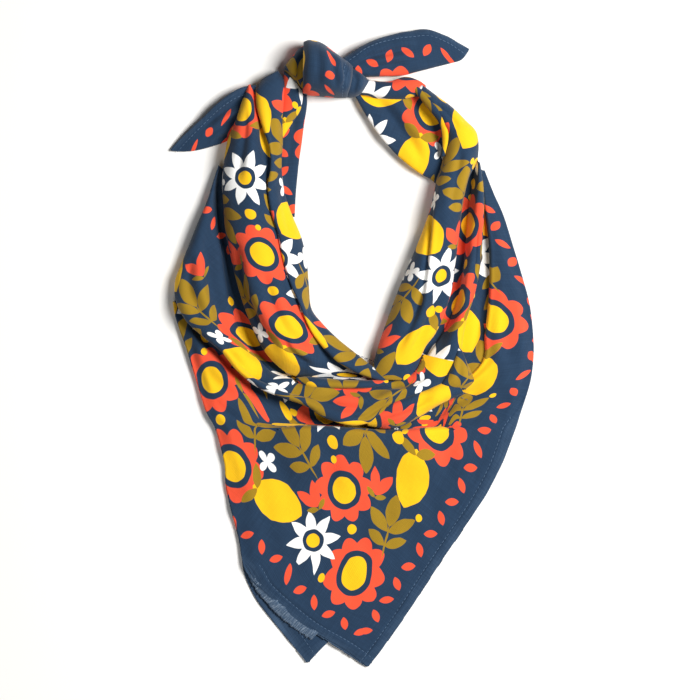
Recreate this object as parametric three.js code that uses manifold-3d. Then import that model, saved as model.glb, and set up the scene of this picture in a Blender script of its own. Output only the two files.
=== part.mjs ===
// Square cotton bandana, folded corner to corner, tied once and laid down as a neck scarf.
//
// Millimetres, +X to the right, +Y towards the knot, +Z up from the surface that it lies on.
// The double triangle points to -Y, the knot is at +Y, and the neck opening lies between them.
// Every stretch of cloth that shows is a solid of its own, worked out from a short table: one row
// for each section, with the section's two edges and how far the cloth swells up between them.

import * as THREE from 'three';
import { mergeVertices } from 'three/addons/utils/BufferGeometryUtils.js';
import Module from 'manifold-3d';

// Driving dimensions
const SEAM_GAP = 0.35; // between two stretches that touch
const SHARPEST = 0.3; // least cosine that an outset follows round a sharp rim
const STEP_ALONG = 9; // between two sections of the finished solid
const STEP_MIN = 4; // fewest steps along a short stretch
const WALL = 1.5; // the cloth itself, and every edge of it
const SECTION_TOP = 6; // steps across the upper side of a section, twice those of the underside
const SECTION_UNDER = SECTION_TOP / 2;
const ROLL = 2.2; // fullness of a round roll
const SOFT = 3; // fullness of a broad soft fold
const FLAT = 9; // fullness of a flat panel
const CENTRE_X = 0.03; // the middle of the whole cloth along X
const CENTRE_Y = 0.45; // and along Y

const NAVY = '#2d4766';
const CORAL = '#ff5f45';
const YELLOW = '#fcc914';
const OLIVE = '#b08d20';
const COTTON = { roughness: 0.85, metalness: 0 };

const COLUMNS = ['leftX', 'leftY', 'leftZ', 'rightX', 'rightY', 'rightZ', 'crown'];

// Stretches in the order that they lie, the uppermost first. Each one is cut away where one
// before it presses on it. parts splits a long bent stretch at the given rows.
const STRETCHES = [
  {
    name: 'under_panel', colour: NAVY, fullness: FLAT, undercut: 0,
    sections: [
      [-60, -47, 0.75, 58, -50, 0.75, 0],
      [-79, -70, 0.75, 90, -66, 0.75, 0],
      [-82, -100, 0.75, 82, -100, 0.75, 0],
      [-76.4, -133, 0.75, 54, -138, 0.75, 0],
      [-75.5, -154, 0.75, 36, -162, 0.75, 0],
      [-68, -173, 0.75, 12, -184, 0.75, 0],
      [-54, -192, 0.75, -10, -200, 0.75, 0],
      [-42, -206.5, 0.75, -19.5, -208.8, 0.75, 0],
      [-30.8, -219.5, 0.75, -29.4, -219.4, 0.75, 0],
    ],
  },
  {
    name: 'knot_body', colour: NAVY, fullness: ROLL, undercut: 20,
    sections: [
      [-33, 213.6, 14, -33.6, 178, 12, 12],
      [-28.5, 214.8, 16, -30, 176.6, 12, 20],
      [-20, 212.5, 16, -22, 175.6, 12, 22],
      [-10, 205.2, 16, -12, 174.8, 12, 21],
      [-2, 199.6, 14, -5, 174.8, 11, 17],
      [1.6, 196.4, 13, -2.6, 175.2, 10, 12],
    ],
  },
  {
    name: 'knot_right_turn', colour: NAVY, fullness: ROLL, undercut: 16,
    sections: [
      [-2, 198.6, 9, -5, 175.4, 8, 16],
      [4, 194.4, 9, 1.4, 175.4, 8, 14],
      [9.4, 190.2, 8, 7.4, 178, 8, 10],
      [12.8, 186.8, 8, 12, 183.6, 8, 4],
    ],
  },
  {
    name: 'knot_left_turn', colour: OLIVE, fullness: ROLL, undercut: 16,
    sections: [
      [-31, 213.4, 9, -32, 178, 8, 17],
      [-36.4, 209, 9, -35.4, 182.4, 8, 15],
      [-42, 202.8, 9, -40.6, 187.6, 8, 11],
      [-46.6, 196.4, 8, -46.2, 194, 8, 4],
    ],
  },
  {
    name: 'left_inner_roll', colour: CORAL, fullness: ROLL, undercut: 14, parts: [0, 6, 11, 17],
    sections: [
      [-62, 187.8, 8, -51, 194, 8, 4],
      [-66, 180, 8, -46.4, 186.5, 8, 9],
      [-65.6, 168, 9, -46.4, 175, 8, 10],
      [-61.4, 153, 10, -47.6, 157, 7, 10],
      [-57, 140, 12, -47.6, 142, 7, 9],
      [-56, 126, 13, -48.4, 127, 7, 8],
      [-58, 112, 14, -46.4, 109, 7, 8],
      [-56, 96, 14, -41, 93, 6, 8],
      [-51, 80, 14, -34.8, 78, 6, 8],
      [-48, 64, 14, -31, 62, 6, 8],
      [-43, 47, 14, -29.4, 44, 6, 8],
      [-36, 31, 14, -27.6, 28, 7, 8],
      [-29, 14, 14, -20, 17.6, 8, 8],
      [-20, 1, 14, -9.4, 7, 8, 8],
      [-10, -9, 14, 1.2, -1.6, 8, 8],
      [1.6, -16, 13, 11, -9.2, 8, 7],
      [13.6, -20.6, 12, 17.6, -14.6, 9, 5],
      [23.4, -23, 11, 24.6, -20.4, 9, 2],
    ],
  },
  {
    name: 'cowl_thin_fold', colour: YELLOW, fullness: ROLL, undercut: 12,
    sections: [
      [-38.6, -20.4, 11, -36.4, -24.4, 11, 2],
      [-30, -19.6, 12, -28.4, -27.2, 11, 5],
      [-14, -21, 13, -13.6, -27.8, 11, 6],
      [2, -22, 13, 2, -27.8, 11, 6],
      [14, -22, 12, 14, -27.4, 11, 4],
      [26, -21.8, 11, 26, -25.2, 11, 2],
    ],
  },
  {
    name: 'left_main_roll', colour: NAVY, fullness: ROLL, undercut: 14, parts: [0, 10, 15],
    sections: [
      [-71.8, 183.8, 8, -69.6, 184.4, 8, 3],
      [-75.4, 175, 7, -66.4, 176.4, 8, 9],
      [-80.4, 160, 7, -63.6, 160, 9, 13],
      [-86, 146, 7, -58, 146, 10, 15],
      [-89, 132, 7, -54, 130, 11, 16],
      [-91.4, 116, 7, -53, 112, 11, 17],
      [-90.8, 98, 7, -52, 94, 11, 17],
      [-89.4, 80, 7, -47, 78, 11, 17],
      [-86.4, 62, 7, -43, 60, 11, 17],
      [-82, 42, 7, -38, 42, 11, 17],
      [-76, 22, 7, -30, 24, 11, 17],
      [-68.4, 3, 8, -22, 8, 11, 16],
      [-58.6, -11, 8, -13, -5, 11, 13],
      [-44, -19.6, 8, -3, -13, 10, 9],
      [-28, -22.6, 8, 8, -18.4, 10, 6],
      [-8, -23.6, 8, 19, -21.6, 9, 4],
    ],
  },
  {
    name: 'right_flap', colour: YELLOW, fullness: ROLL, undercut: 10,
    sections: [
      [75, 2.4, 10, 76.6, 2, 10, 2],
      [71.6, -8, 11, 80.6, -9, 10, 6],
      [66.6, -18, 12, 84.8, -18.4, 10, 8],
      [62.6, -25.4, 12, 85.6, -23.4, 9, 7],
      [68, -29.2, 11, 80, -28.6, 9, 3],
    ],
  },
  {
    name: 'cowl_band', colour: NAVY, fullness: SOFT, undercut: 12,
    sections: [
      [-38, -25.4, 8, -50, -33.8, 7, 7],
      [-28, -25.6, 10, -32, -40, 7, 8],
      [-12, -25.8, 11, -19, -50, 6, 9],
      [3, -25.8, 11, -2, -56.2, 5, 9],
      [16, -25.2, 11, 12, -54, 7, 9],
      [31, -23.6, 10, 24, -44, 9, 8],
      [43, -18, 10, 41, -36, 10, 7],
      [48, -10, 10, 60, -28, 10, 7],
      [50, -4, 9, 76, -10, 8, 7],
    ],
  },
  {
    name: 'right_inner_roll', colour: CORAL, fullness: ROLL, undercut: 14, parts: [0, 6, 10, 14],
    sections: [
      [12.6, -21, 7, 44, -23, 7, 5],
      [15.4, -11, 7, 47.4, -11, 7, 9],
      [20, 5, 7, 52, 1, 7, 12],
      [25.6, 21, 7, 61, 14, 7, 14],
      [33, 41, 7, 69.4, 37, 8, 15],
      [40, 58, 7, 72.6, 57, 8, 16],
      [47.6, 76, 7, 75.2, 77.4, 8, 15],
      [55.4, 98, 7, 78, 99.8, 8, 16],
      [59.4, 116.6, 7, 82, 118, 7, 15],
      [64, 132, 7, 88.6, 133, 6, 13],
      [66.4, 147, 8, 88, 150, 6, 12],
      [64, 158, 8, 80, 159.4, 6, 11],
      [57, 167, 8, 70.6, 168.6, 6, 10],
      [50, 175, 8, 58, 178, 6, 8],
      [46, 181, 8, 50, 184, 7, 4],
    ],
  },
  {
    name: 'right_middle_roll', colour: NAVY, fullness: ROLL, undercut: 14,
    sections: [
      [50, -4, 8, 76, -10, 8, 7],
      [55, 6, 7, 78, 5, 8, 8],
      [60, 20, 6, 81, 21, 8, 9],
      [64, 37, 6, 86.4, 38, 8, 10],
      [68, 56, 6, 90.4, 58, 8, 10],
      [71, 78, 6, 92, 78, 8, 10],
      [74, 100, 6, 93, 99, 8, 9],
      [78, 116, 6, 92, 114, 8, 8],
      [83, 128, 6, 90, 127, 7, 5],
      [85.6, 134, 6, 88, 134, 6, 2],
    ],
  },
  {
    name: 'left_outer_fold', colour: NAVY, fullness: SOFT, undercut: 10,
    sections: [
      [-92.6, 128, 5, -88, 127, 5, 2],
      [-96.6, 116, 5, -86, 116, 5, 4],
      [-101, 102, 5, -85, 102, 5, 6],
      [-107, 88, 5, -84, 88, 5, 8],
      [-113, 73, 5, -82, 74, 5, 9],
      [-119, 58, 5, -80, 60, 5, 10],
      [-123, 47, 5, -78, 47, 5, 10],
      [-122.4, 33, 5, -74, 33, 5, 10],
      [-115, 19, 6, -68, 16, 5, 10],
      [-103, 8, 7, -62, 3, 5, 10],
      [-90, -3, 7, -54, -9, 6, 10],
      [-80, -15, 7, -47, -17, 6, 9],
      [-66, -26.6, 7, -41, -22, 6, 8],
      [-50, -33.8, 7, -38, -25.4, 8, 7],
    ],
  },
  {
    name: 'cowl_lower_roll', colour: OLIVE, fullness: ROLL, undercut: 10,
    sections: [
      [10, -49, 5, 14, -57, 4, 3],
      [22, -41, 5, 27, -57.6, 4, 8],
      [34, -35, 6, 39, -54, 4, 9],
      [47, -30, 6, 52, -47.4, 5, 8],
      [59, -25, 6, 64, -38.6, 6, 7],
      [70, -23, 6, 77, -32.4, 6, 4],
    ],
  },
  {
    name: 'right_flank', colour: CORAL, fullness: SOFT, undercut: 9,
    sections: [
      [65, -57, 5, 113.6, -57, 4, 4],
      [66, -48, 6, 117, -46, 5, 6],
      [73, -35, 7, 121, -34, 5, 7],
      [84, -23, 7, 124.6, -21, 5, 8],
      [94, -8, 7, 126.4, -5, 5, 9],
      [95.6, 10, 7, 126, 11, 5, 9],
      [98, 32, 7, 123.6, 31, 5, 9],
      [98.8, 52, 7, 118.2, 51.4, 5, 8],
      [98.4, 72, 6, 112, 72, 5, 7],
      [96, 92, 6, 105.4, 93, 5, 5],
      [93, 108, 5, 98.6, 108.4, 5, 3],
      [91, 125, 5, 92.2, 124.6, 5, 1],
    ],
  },
  {
    name: 'front_panel', colour: NAVY, fullness: FLAT, undercut: 6,
    sections: [
      [10.8, -222.4, 0.75, 12.2, -222.4, 0.75, 0.3],
      [-2.4, -213.8, 0.8, 19, -213.6, 0.75, 0.8],
      [-15.6, -205, 2.2, 27, -202.6, 0.75, 0.8],
      [-44, -185.4, 2.6, 42, -181, 0.75, 1],
      [-72, -158, 2.6, 63, -149, 0.8, 1.2],
      [-78, -131, 2.6, 78, -127, 1, 1.6],
      [-86, -99, 2.8, 95, -101, 1.8, 2],
      [-87.4, -80, 3, 106, -79, 2.6, 3],
      [-93.4, -57, 4, 113.6, -57, 4, 4],
    ],
  },
  {
    name: 'left_flank', colour: CORAL, fullness: SOFT, undercut: 8,
    sections: [
      [-93.4, -57, 4, -50, -57, 4, 4],
      [-99.2, -46, 4, -55, -41, 4, 5],
      [-105, -32, 4, -60, -30, 4, 6],
      [-108, -20, 4, -70, -18, 4, 6],
      [-112.4, -5, 4, -82, -3, 4, 6],
      [-117, 9, 4, -94, 8, 4, 5],
      [-121, 20, 4, -108, 19, 4, 4],
      [-123, 30, 4, -119, 29, 4, 2],
    ],
  },
  {
    name: 'right_tail', colour: NAVY, fullness: SOFT, undercut: 12,
    sections: [
      [-6, 202.6, 10, 8, 189.6, 8, 5],
      [11, 212.8, 8, 22, 190, 7, 6],
      [24, 218, 6, 35, 190.6, 5, 6],
      [40, 221.6, 5, 47, 193.6, 4, 5],
      [53, 223.2, 4, 60, 197, 3, 4],
      [66, 218.8, 3, 70, 199.6, 2, 3],
      [76, 213.4, 2, 77.4, 202, 1.6, 2],
      [82.8, 209.6, 0.75, 82.4, 208.2, 0.75, 0.3],
    ],
  },
  {
    name: 'right_knot_roll', colour: OLIVE, fullness: ROLL, undercut: 12,
    sections: [
      [4, 190, 8, 4, 179, 8, 6],
      [14, 187.4, 8, 10, 176, 7, 6],
      [26, 186.4, 8, 24, 174, 6, 7],
      [38, 189.8, 7, 36, 174, 6, 7],
      [47, 187.4, 6, 46, 176, 6, 6],
      [52, 184, 6, 53, 174, 6, 3],
    ],
  },
  {
    name: 'right_back_strap', colour: CORAL, fullness: SOFT, undercut: 6,
    sections: [
      [6, 186, 4, 4, 175, 3, 3],
      [22, 180, 5, 10.4, 163, 3, 3],
      [40, 174, 5, 19.4, 149.4, 3, 3],
      [56, 164, 5, 33, 134.2, 3, 3],
      [69, 148, 5, 47, 123, 3, 3],
      [71, 134, 5, 55.4, 118.4, 3, 3],
      [68, 120, 4, 61, 113, 3, 2],
    ],
  },
  {
    name: 'left_knot_fold', colour: OLIVE, fullness: ROLL, undercut: 10,
    sections: [
      [-47, 194, 6, -34, 181, 6, 6],
      [-48, 184, 6, -33.6, 175, 6, 6],
      [-49, 172, 6, -35.6, 166, 6, 5],
      [-50, 160, 6, -41.4, 157, 5, 4],
      [-50, 148, 5, -47.4, 147.4, 5, 2],
    ],
  },
  {
    name: 'left_back_strip', colour: NAVY, fullness: SOFT, undercut: 4,
    sections: [
      [-46, 186, 3, -30.8, 180, 3, 2],
      [-50, 170, 3, -31, 170, 3, 2],
      [-52, 150, 3, -33.4, 152, 3, 2],
      [-54, 130, 3, -36.2, 132, 3, 2],
      [-52, 110, 3, -38.4, 110, 3, 2],
      [-46, 92, 3, -39.4, 92, 3, 1],
    ],
  },
  {
    name: 'left_tail', colour: NAVY, fullness: SOFT, undercut: 6,
    sections: [
      [-68, 183.6, 4, -74, 150, 4, 3],
      [-77.4, 181.6, 4, -84, 146, 4, 4],
      [-91, 173, 4, -95, 142, 3, 4],
      [-104, 161, 3, -106, 139, 3, 4],
      [-117, 149, 2, -116, 137.8, 2, 3],
      [-126.4, 139.2, 0.75, -125.8, 138.2, 0.75, 0.3],
    ],
  },
  {
    name: 'cowl_backing', colour: NAVY, fullness: SOFT, undercut: 4, parts: [0, 2, 5],
    sections: [
      [-62, -26, 2, -54, -54, 2, 2],
      [-30, -28, 2, -30, -56, 2, 2],
      [0, -30, 2, 0, -56, 2, 2],
      [30, -30, 2, 30, -56, 2, 2],
      [60, -28, 2, 62, -55, 2, 2],
      [80, -30, 2, 74, -46, 2, 2],
    ],
  },
  {
    name: 'right_valley_layer', colour: OLIVE, fullness: SOFT, undercut: 4,
    sections: [
      [88, 94, 3, 98, 94, 3, 1],
      [84, 60, 3, 103, 60, 3, 2],
      [80, 30, 3, 103, 30, 3, 2],
      [72, 5, 3, 101, 5, 3, 3],
      [72, -12, 3, 98, -12, 3, 3],
      [78, -24, 3, 90, -24, 3, 2],
    ],
  },
];

const wasm = await Module();
wasm.setup();
const { Manifold, Mesh: SolidMesh } = wasm;

// A smooth line through one value or point of every section.
function lineThrough(points) {
  return new THREE.CatmullRomCurve3(points, false, 'catmullrom', 0.5);
}

function stretchLines(sections) {
  const rows = sections.map((cells) => Object.fromEntries(COLUMNS.map((name, i) => [name, cells[i]])));
  return {
    left: lineThrough(rows.map((row) => new THREE.Vector3(row.leftX, row.leftY, row.leftZ))),
    right: lineThrough(rows.map((row) => new THREE.Vector3(row.rightX, row.rightY, row.rightZ))),
    crown: lineThrough(rows.map((row) => new THREE.Vector3(row.crown, 0, 0))),
  };
}

// Where a step across a section lies, from 0 at the left edge to 1 at the right, and how much of
// the swell it has. A fuller section rises sooner and stays level for longer.
function acrossSection(step, steps, fullness) {
  const turn = (Math.PI * step) / steps;
  const side = Math.sign(Math.cos(turn)) * Math.abs(Math.cos(turn)) ** (2 / fullness);
  return { across: (1 - side) / 2, swell: Math.sin(turn) };
}

// One closed ring of points: over the top from left to right, then back along the underside.
function sectionRing(lines, along, fullness, undercut) {
  const left = lines.left.getPoint(along);
  const right = lines.right.getPoint(along);
  const crown = lines.crown.getPoint(along).x;
  const ring = [];
  for (let i = 0; i <= SECTION_TOP; i += 1) {
    const { across, swell } = acrossSection(i, SECTION_TOP, fullness);
    const point = left.clone().lerp(right, across);
    point.z = Math.max(WALL, point.z + WALL / 2 + crown * swell);
    ring.push(point);
  }
  for (let i = SECTION_UNDER; i >= 0; i -= 1) {
    const { across, swell } = acrossSection(i, SECTION_UNDER, fullness);
    const point = left.clone().lerp(right, across);
    point.z = Math.max(0, point.z - WALL / 2 - undercut * swell);
    ring.push(point);
  }
  return ring;
}

// A closed solid through the sections from one place along a stretch to another.
function stretchGeometry(stretch, from, to) {
  const lines = stretchLines(stretch.sections);
  const share = to - from;
  const length = Math.max(lines.left.getLength(), lines.right.getLength()) * share;
  const steps = Math.max(STEP_MIN, Math.round(length / STEP_ALONG));
  const rings = [];
  for (let i = 0; i <= steps; i += 1) {
    rings.push(sectionRing(lines, from + (share * i) / steps, stretch.fullness, stretch.undercut));
  }
  const size = rings[0].length;
  const index = [];
  for (let i = 0; i < steps; i += 1) {
    for (let j = 0; j < size; j += 1) {
      const a = i * size + j;
      const b = i * size + ((j + 1) % size);
      index.push(a, b, b + size, a, b + size, a + size);
    }
  }
  const last = steps * size;
  endFace().forEach(([a, b, c]) => index.push(c, b, a, last + a, last + b, last + c));
  const geometry = new THREE.BufferGeometry();
  const positions = rings.flat().flatMap((point) => [point.x, point.y, point.z]);
  geometry.setAttribute('position', new THREE.Float32BufferAttribute(positions, 3));
  geometry.setIndex(index);
  return geometry;
}

// Triangles that close one ring, between its upper side and its underside.
function endFace() {
  const under = (step) => SECTION_TOP + SECTION_UNDER + 1 - step;
  const faces = [];
  for (let step = 0; step < SECTION_UNDER; step += 1) {
    const top = 2 * step;
    faces.push([top, top + 1, under(step)]);
    faces.push([top + 1, under(step + 1), under(step)]);
    faces.push([top + 1, top + 2, under(step + 1)]);
  }
  return faces;
}

function signedVolume(geometry) {
  const position = geometry.attributes.position;
  const corners = [new THREE.Vector3(), new THREE.Vector3(), new THREE.Vector3()];
  let volume = 0;
  for (let i = 0; i < geometry.index.count; i += 3) {
    corners.forEach((corner, k) => corner.fromBufferAttribute(position, geometry.index.getX(i + k)));
    volume += corners[0].dot(corners[1].clone().cross(corners[2])) / 6;
  }
  return volume;
}

// The same closed surface with its faces pointing out.
function facingOut(geometry) {
  if (signedVolume(geometry) > 0) return geometry;
  const index = Array.from(geometry.index.array);
  for (let i = 0; i < index.length; i += 3) {
    [index[i], index[i + 1]] = [index[i + 1], index[i]];
  }
  geometry.setIndex(index);
  return geometry;
}

// The surface with every face moved out by at least a distance, to cut a neighbour with a gap.
function outset(geometry, distance) {
  const grown = geometry.clone();
  grown.computeVertexNormals();
  const position = grown.attributes.position;
  const normal = grown.attributes.normal;
  const meeting = leastCosines(grown);
  for (let i = 0; i < position.count; i += 1) {
    const reach = distance / Math.max(meeting[i], SHARPEST);
    position.setXYZ(
      i,
      position.getX(i) + normal.getX(i) * reach,
      position.getY(i) + normal.getY(i) * reach,
      position.getZ(i) + normal.getZ(i) * reach,
    );
  }
  grown.deleteAttribute('normal');
  return grown;
}

// For each corner, the least cosine between its own normal and those of the faces round it.
function leastCosines(geometry) {
  const { position, normal } = geometry.attributes;
  const least = new Array(position.count).fill(1);
  const cornerNormal = new THREE.Vector3();
  const faceNormal = new THREE.Vector3();
  for (let i = 0; i < geometry.index.count; i += 3) {
    const corners = [0, 1, 2].map((k) => geometry.index.getX(i + k));
    const points = corners.map((corner) => new THREE.Vector3().fromBufferAttribute(position, corner));
    new THREE.Triangle(...points).getNormal(faceNormal);
    for (const corner of corners) {
      cornerNormal.fromBufferAttribute(normal, corner);
      least[corner] = Math.min(least[corner], cornerNormal.dot(faceNormal));
    }
  }
  return least;
}

function solidFrom(geometry) {
  const vertProperties = new Float32Array(geometry.attributes.position.array);
  const triVerts = new Uint32Array(geometry.index.array);
  return new Manifold(new SolidMesh({ numProp: 3, vertProperties, triVerts }));
}

function geometryFrom(solid) {
  const mesh = solid.getMesh();
  const geometry = new THREE.BufferGeometry();
  geometry.setAttribute('position', new THREE.Float32BufferAttribute(mesh.vertProperties, 3));
  geometry.setIndex(Array.from(mesh.triVerts));
  return mergeVertices(geometry);
}

function largestBody(solid) {
  const bodies = solid.decompose();
  return bodies.reduce((best, body) => (body.volume() > best.volume() ? body : best));
}

// The pieces of one stretch: the whole of it, or one for each span between its parts rows.
function stretchPieces(stretch) {
  const last = stretch.sections.length - 1;
  const breaks = stretch.parts ?? [0, last];
  return breaks.slice(1).map((end, i) => ({
    name: stretch.parts ? `${stretch.name}_${i + 1}` : stretch.name,
    colour: stretch.colour,
    geometry: facingOut(stretchGeometry(stretch, breaks[i] / last, end / last)),
  }));
}

const bandana = new THREE.Group();
bandana.position.set(-CENTRE_X, -CENTRE_Y, 0);
const placed = [];
for (const piece of STRETCHES.flatMap(stretchPieces)) {
  let solid = solidFrom(piece.geometry);
  for (const neighbour of placed) solid = solid.subtract(neighbour);
  placed.push(solidFrom(outset(piece.geometry, SEAM_GAP)));
  const material = new THREE.MeshStandardMaterial({ color: piece.colour, ...COTTON });
  const mesh = new THREE.Mesh(geometryFrom(largestBody(solid)), material);
  mesh.name = piece.name;
  bandana.add(mesh);
}

export default bandana;
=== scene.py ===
import math

import bpy
import numpy as np
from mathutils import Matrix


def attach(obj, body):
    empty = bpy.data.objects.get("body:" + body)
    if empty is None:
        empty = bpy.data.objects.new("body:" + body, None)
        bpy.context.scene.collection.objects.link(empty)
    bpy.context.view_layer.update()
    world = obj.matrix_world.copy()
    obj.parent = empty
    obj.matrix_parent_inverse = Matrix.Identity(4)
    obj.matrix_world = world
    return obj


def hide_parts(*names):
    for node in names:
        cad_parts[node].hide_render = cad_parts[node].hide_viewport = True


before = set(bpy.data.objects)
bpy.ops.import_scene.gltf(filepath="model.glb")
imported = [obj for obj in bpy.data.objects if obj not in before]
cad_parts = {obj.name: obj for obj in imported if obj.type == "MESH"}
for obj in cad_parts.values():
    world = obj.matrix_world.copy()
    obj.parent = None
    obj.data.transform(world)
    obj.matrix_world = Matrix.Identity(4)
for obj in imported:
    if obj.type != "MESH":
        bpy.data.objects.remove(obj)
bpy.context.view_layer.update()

# ---- The table it lies on, the light and the camera ----
# A plain pale tabletop, one broad soft window of light from the right, a weaker fill from the
# front left and a pale room. The camera looks straight down, as the bandana is laid out to be seen.

VIEW_WIDTH = 0.490  # metres of table across the picture
VIEW_CENTRE = (-0.00073, -0.0015)
CAMERA_HEIGHT = 3.0
TABLE_COLOUR = "#F6F4F0"
ROOM_COLOUR = "#F4F6FA"


def linear(colour):
    """The linear colour, with alpha, of an sRGB hex value."""
    parts = [int(colour[i:i + 2], 16) / 255 for i in (1, 3, 5)]
    return [p / 12.92 if p <= 0.04045 else ((p + 0.055) / 1.055) ** 2.4 for p in parts] + [1.0]


def add(owner, kind, *values, **settings):
    """Adds a node to a material or a tree: its settings, then its inputs in their order, each a
    value, socket or node. A shader node goes by its short name."""
    tree = getattr(owner, "node_tree", owner)
    node = tree.nodes.new(kind if "Node" in kind else "ShaderNode" + kind)
    for name, setting in settings.items():
        setattr(node, name, setting)
    for socket, value in zip([one for one in node.inputs if one.enabled], values):
        if isinstance(value, bpy.types.Node):
            value = next(one for one in value.outputs if one.enabled)
        if isinstance(value, bpy.types.NodeSocket):
            tree.links.new(value, socket)
        else:
            socket.default_value = value
    return node


scene = bpy.context.scene
scene.view_settings.view_transform = "Standard"

camera_data = bpy.data.cameras.new("camera_above")
camera_data.sensor_width = 36.0
camera_data.lens = camera_data.sensor_width * CAMERA_HEIGHT / VIEW_WIDTH
camera = bpy.data.objects.new("camera_above", camera_data)
camera.location = (*VIEW_CENTRE, CAMERA_HEIGHT)
scene.collection.objects.link(camera)
scene.camera = camera

for light_name, place, size, power in [
    ("window_light", (0.86, 0.26, 1.25), 0.7, 36.0),
    ("low_fill", (-0.5, -1.0, 1.2), 0.8, 5.5),
]:
    light_data = bpy.data.lights.new(light_name, "AREA")
    light_data.shape = "DISK"
    light_data.size = size
    light_data.energy = power
    light = bpy.data.objects.new(light_name, light_data)
    light.location = place
    aim = -np.array(place)
    light.rotation_euler = (math.atan2(math.hypot(aim[0], aim[1]), -aim[2]), 0.0,
                            math.atan2(aim[1], aim[0]) - math.pi / 2)
    scene.collection.objects.link(light)

room = bpy.data.worlds.new("pale_room")
room.use_nodes = True
room.node_tree.nodes["Background"].inputs["Color"].default_value = linear(ROOM_COLOUR)
room.node_tree.nodes["Background"].inputs["Strength"].default_value = 0.08
scene.world = room

tabletop_mesh = bpy.data.meshes.new("tabletop")
tabletop_mesh.from_pydata(
    [(x, y, -0.0003) for x, y in ((-4, -4), (4, -4), (4, 4), (-4, 4))], [], [(0, 1, 2, 3)])
tabletop = bpy.data.objects.new("tabletop", tabletop_mesh)
scene.collection.objects.link(tabletop)
painted_board = bpy.data.materials.new("painted_board")
painted_board.use_nodes = True
board_shader = painted_board.node_tree.nodes["Principled BSDF"]
board_shader.inputs["Base Color"].default_value = linear(TABLE_COLOUR)
board_shader.inputs["Roughness"].default_value = 0.7
tabletop_mesh.materials.append(painted_board)

# ---- The printed cotton ----
# Plain-weave cotton lawn, about 115 g/m2, screen printed on one side: navy ground, coral, yellow,
# olive and white shapes, a row of small leaf pairs along all four edges and a plain navy margin.
# Matt, with a faint bloom of loose fibres, threads that vary in thickness, and paler worn hems.

CUT = 560.0  # mm, each side of the square
NAVY, NAVY_FADED = "#19314A", "#26405B"
CORAL, YELLOW, OLIVE, WHITE = "#EE5132", "#F6BE0E", "#9B7A16", "#FBFAF6"
INK_EDGE = 0.28  # mm, how softly a printed edge ends
REPEAT = 112.0  # mm, one repeat of the print along each thread direction
MARGIN = 25.0  # mm of plain ground round the field
FIELD_SHIFT = 27.0  # mm, so that the first whole motifs stand just inside the margin
BORDER_PITCH = CUT / 42
BORDER_FOOT = 14.6  # mm from the edge to the foot of a border leaf
WRONG_SIDE, WORN, UNDYED = "#52677F", "#58708A", "#A9B8C6"
THREAD = 0.9  # mm between drawn threads; the real 0.35 mm is too fine to show
# kind, place within a repeat along the two threads, size, turn in degrees
FIELD = [
    ("blossom", 20, 21, 22.5, 12),
    ("blossom", 59, 58, 21.5, 31),
    ("daisy", 58, 17, 20.5, 0),
    ("daisy", 96, 97, 20.5, 20),
    ("lemon", 96, 22, 21.5, 52),
    ("lemon", 22, 95, 20.0, -30),
    ("spray", 18, 58, 22.0, -24),
    ("spray", 97, 61, 21.0, 20),
    ("spray", 60, 97, 21.5, 158),
    ("dot", 39.5, 40.5, 3.4, 0),
    ("bud", 77, 40, 9.0, 24),
    ("bud", 40, 78, 9.0, -36),
    ("dot", 78.5, 79, 3.8, 0),
    ("star", 77, 1, 7.6, 10),
    ("dot", 40, 111, 4.0, 0),
    ("star", 1, 39, 7.4, 30),
    ("dot", 110, 79, 4.4, 0),
    ("dot", 38, 5, 2.4, 0),
    ("dot", 74, 70, 2.2, 0),
    ("dot", 4, 76, 2.4, 0),
]


def inked(cloth, inside, under, tone):
    """The colour under, with tone printed where inside, in mm, is above 0; its edge is soft."""
    mask = add(cloth, "Math", inside, 1 / INK_EDGE, 0.5, operation="MULTIPLY_ADD", use_clamp=True)
    return add(cloth, "Mix", mask, under, tone, data_type="RGBA")


def scalloped(cloth, angle, radius, petals, size, hollow):
    """How far inside a flower of round petals, in mm."""
    lobe = add(cloth, "Math", angle, petals / 2, operation="MULTIPLY")
    lobe = add(cloth, "Math", add(cloth, "Math", lobe, operation="COSINE"), operation="ABSOLUTE")
    rim = add(cloth, "Math", lobe, size * hollow, size * (1 - hollow), operation="MULTIPLY_ADD")
    return add(cloth, "Math", rim, radius, operation="SUBTRACT")


def pointed(cloth, angle, radius, petals, size, hollow):
    """How far inside a flower of pointed petals, in mm."""
    tip = add(cloth, "Math", angle, petals / (2 * math.pi), operation="MULTIPLY")
    tip = add(cloth, "Math", tip, 0.5, operation="PINGPONG")
    rim = add(cloth, "Math", tip, -2 * size * hollow, size, operation="MULTIPLY_ADD")
    return add(cloth, "Math", rim, radius, operation="SUBTRACT")


def leaf(cloth, place, foot, turn, length, width):
    """How far inside a leaf pointed at both ends, in mm. foot is its lower end."""
    place = add(cloth, "VectorMath", place, (*foot, 0), operation="SUBTRACT")
    place = add(cloth, "VectorRotate", place, (0, 0, 0), math.radians(turn), rotation_type="Z_AXIS")
    bend = ((length / 2)**2 + (width / 2)**2) / width
    place = add(cloth, "VectorMath", place, (1, 1, 0), (0, -length / 2, 0),
                operation="MULTIPLY_ADD")
    place = add(cloth, "VectorMath", place, operation="ABSOLUTE")
    place = add(cloth, "VectorMath", place, (bend - width / 2, 0, 0), operation="ADD")
    reach = add(cloth, "VectorMath", place, operation="LENGTH")
    return add(cloth, "Math", bend, reach, operation="SUBTRACT")


def mirrored(cloth, place):
    """The place with its left half folded onto its right half."""
    parts = add(cloth, "SeparateXYZ", place)
    beside = add(cloth, "Math", parts.outputs["X"], operation="ABSOLUTE")
    return add(cloth, "CombineXYZ", beside, parts.outputs["Y"], 0.0)


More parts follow.
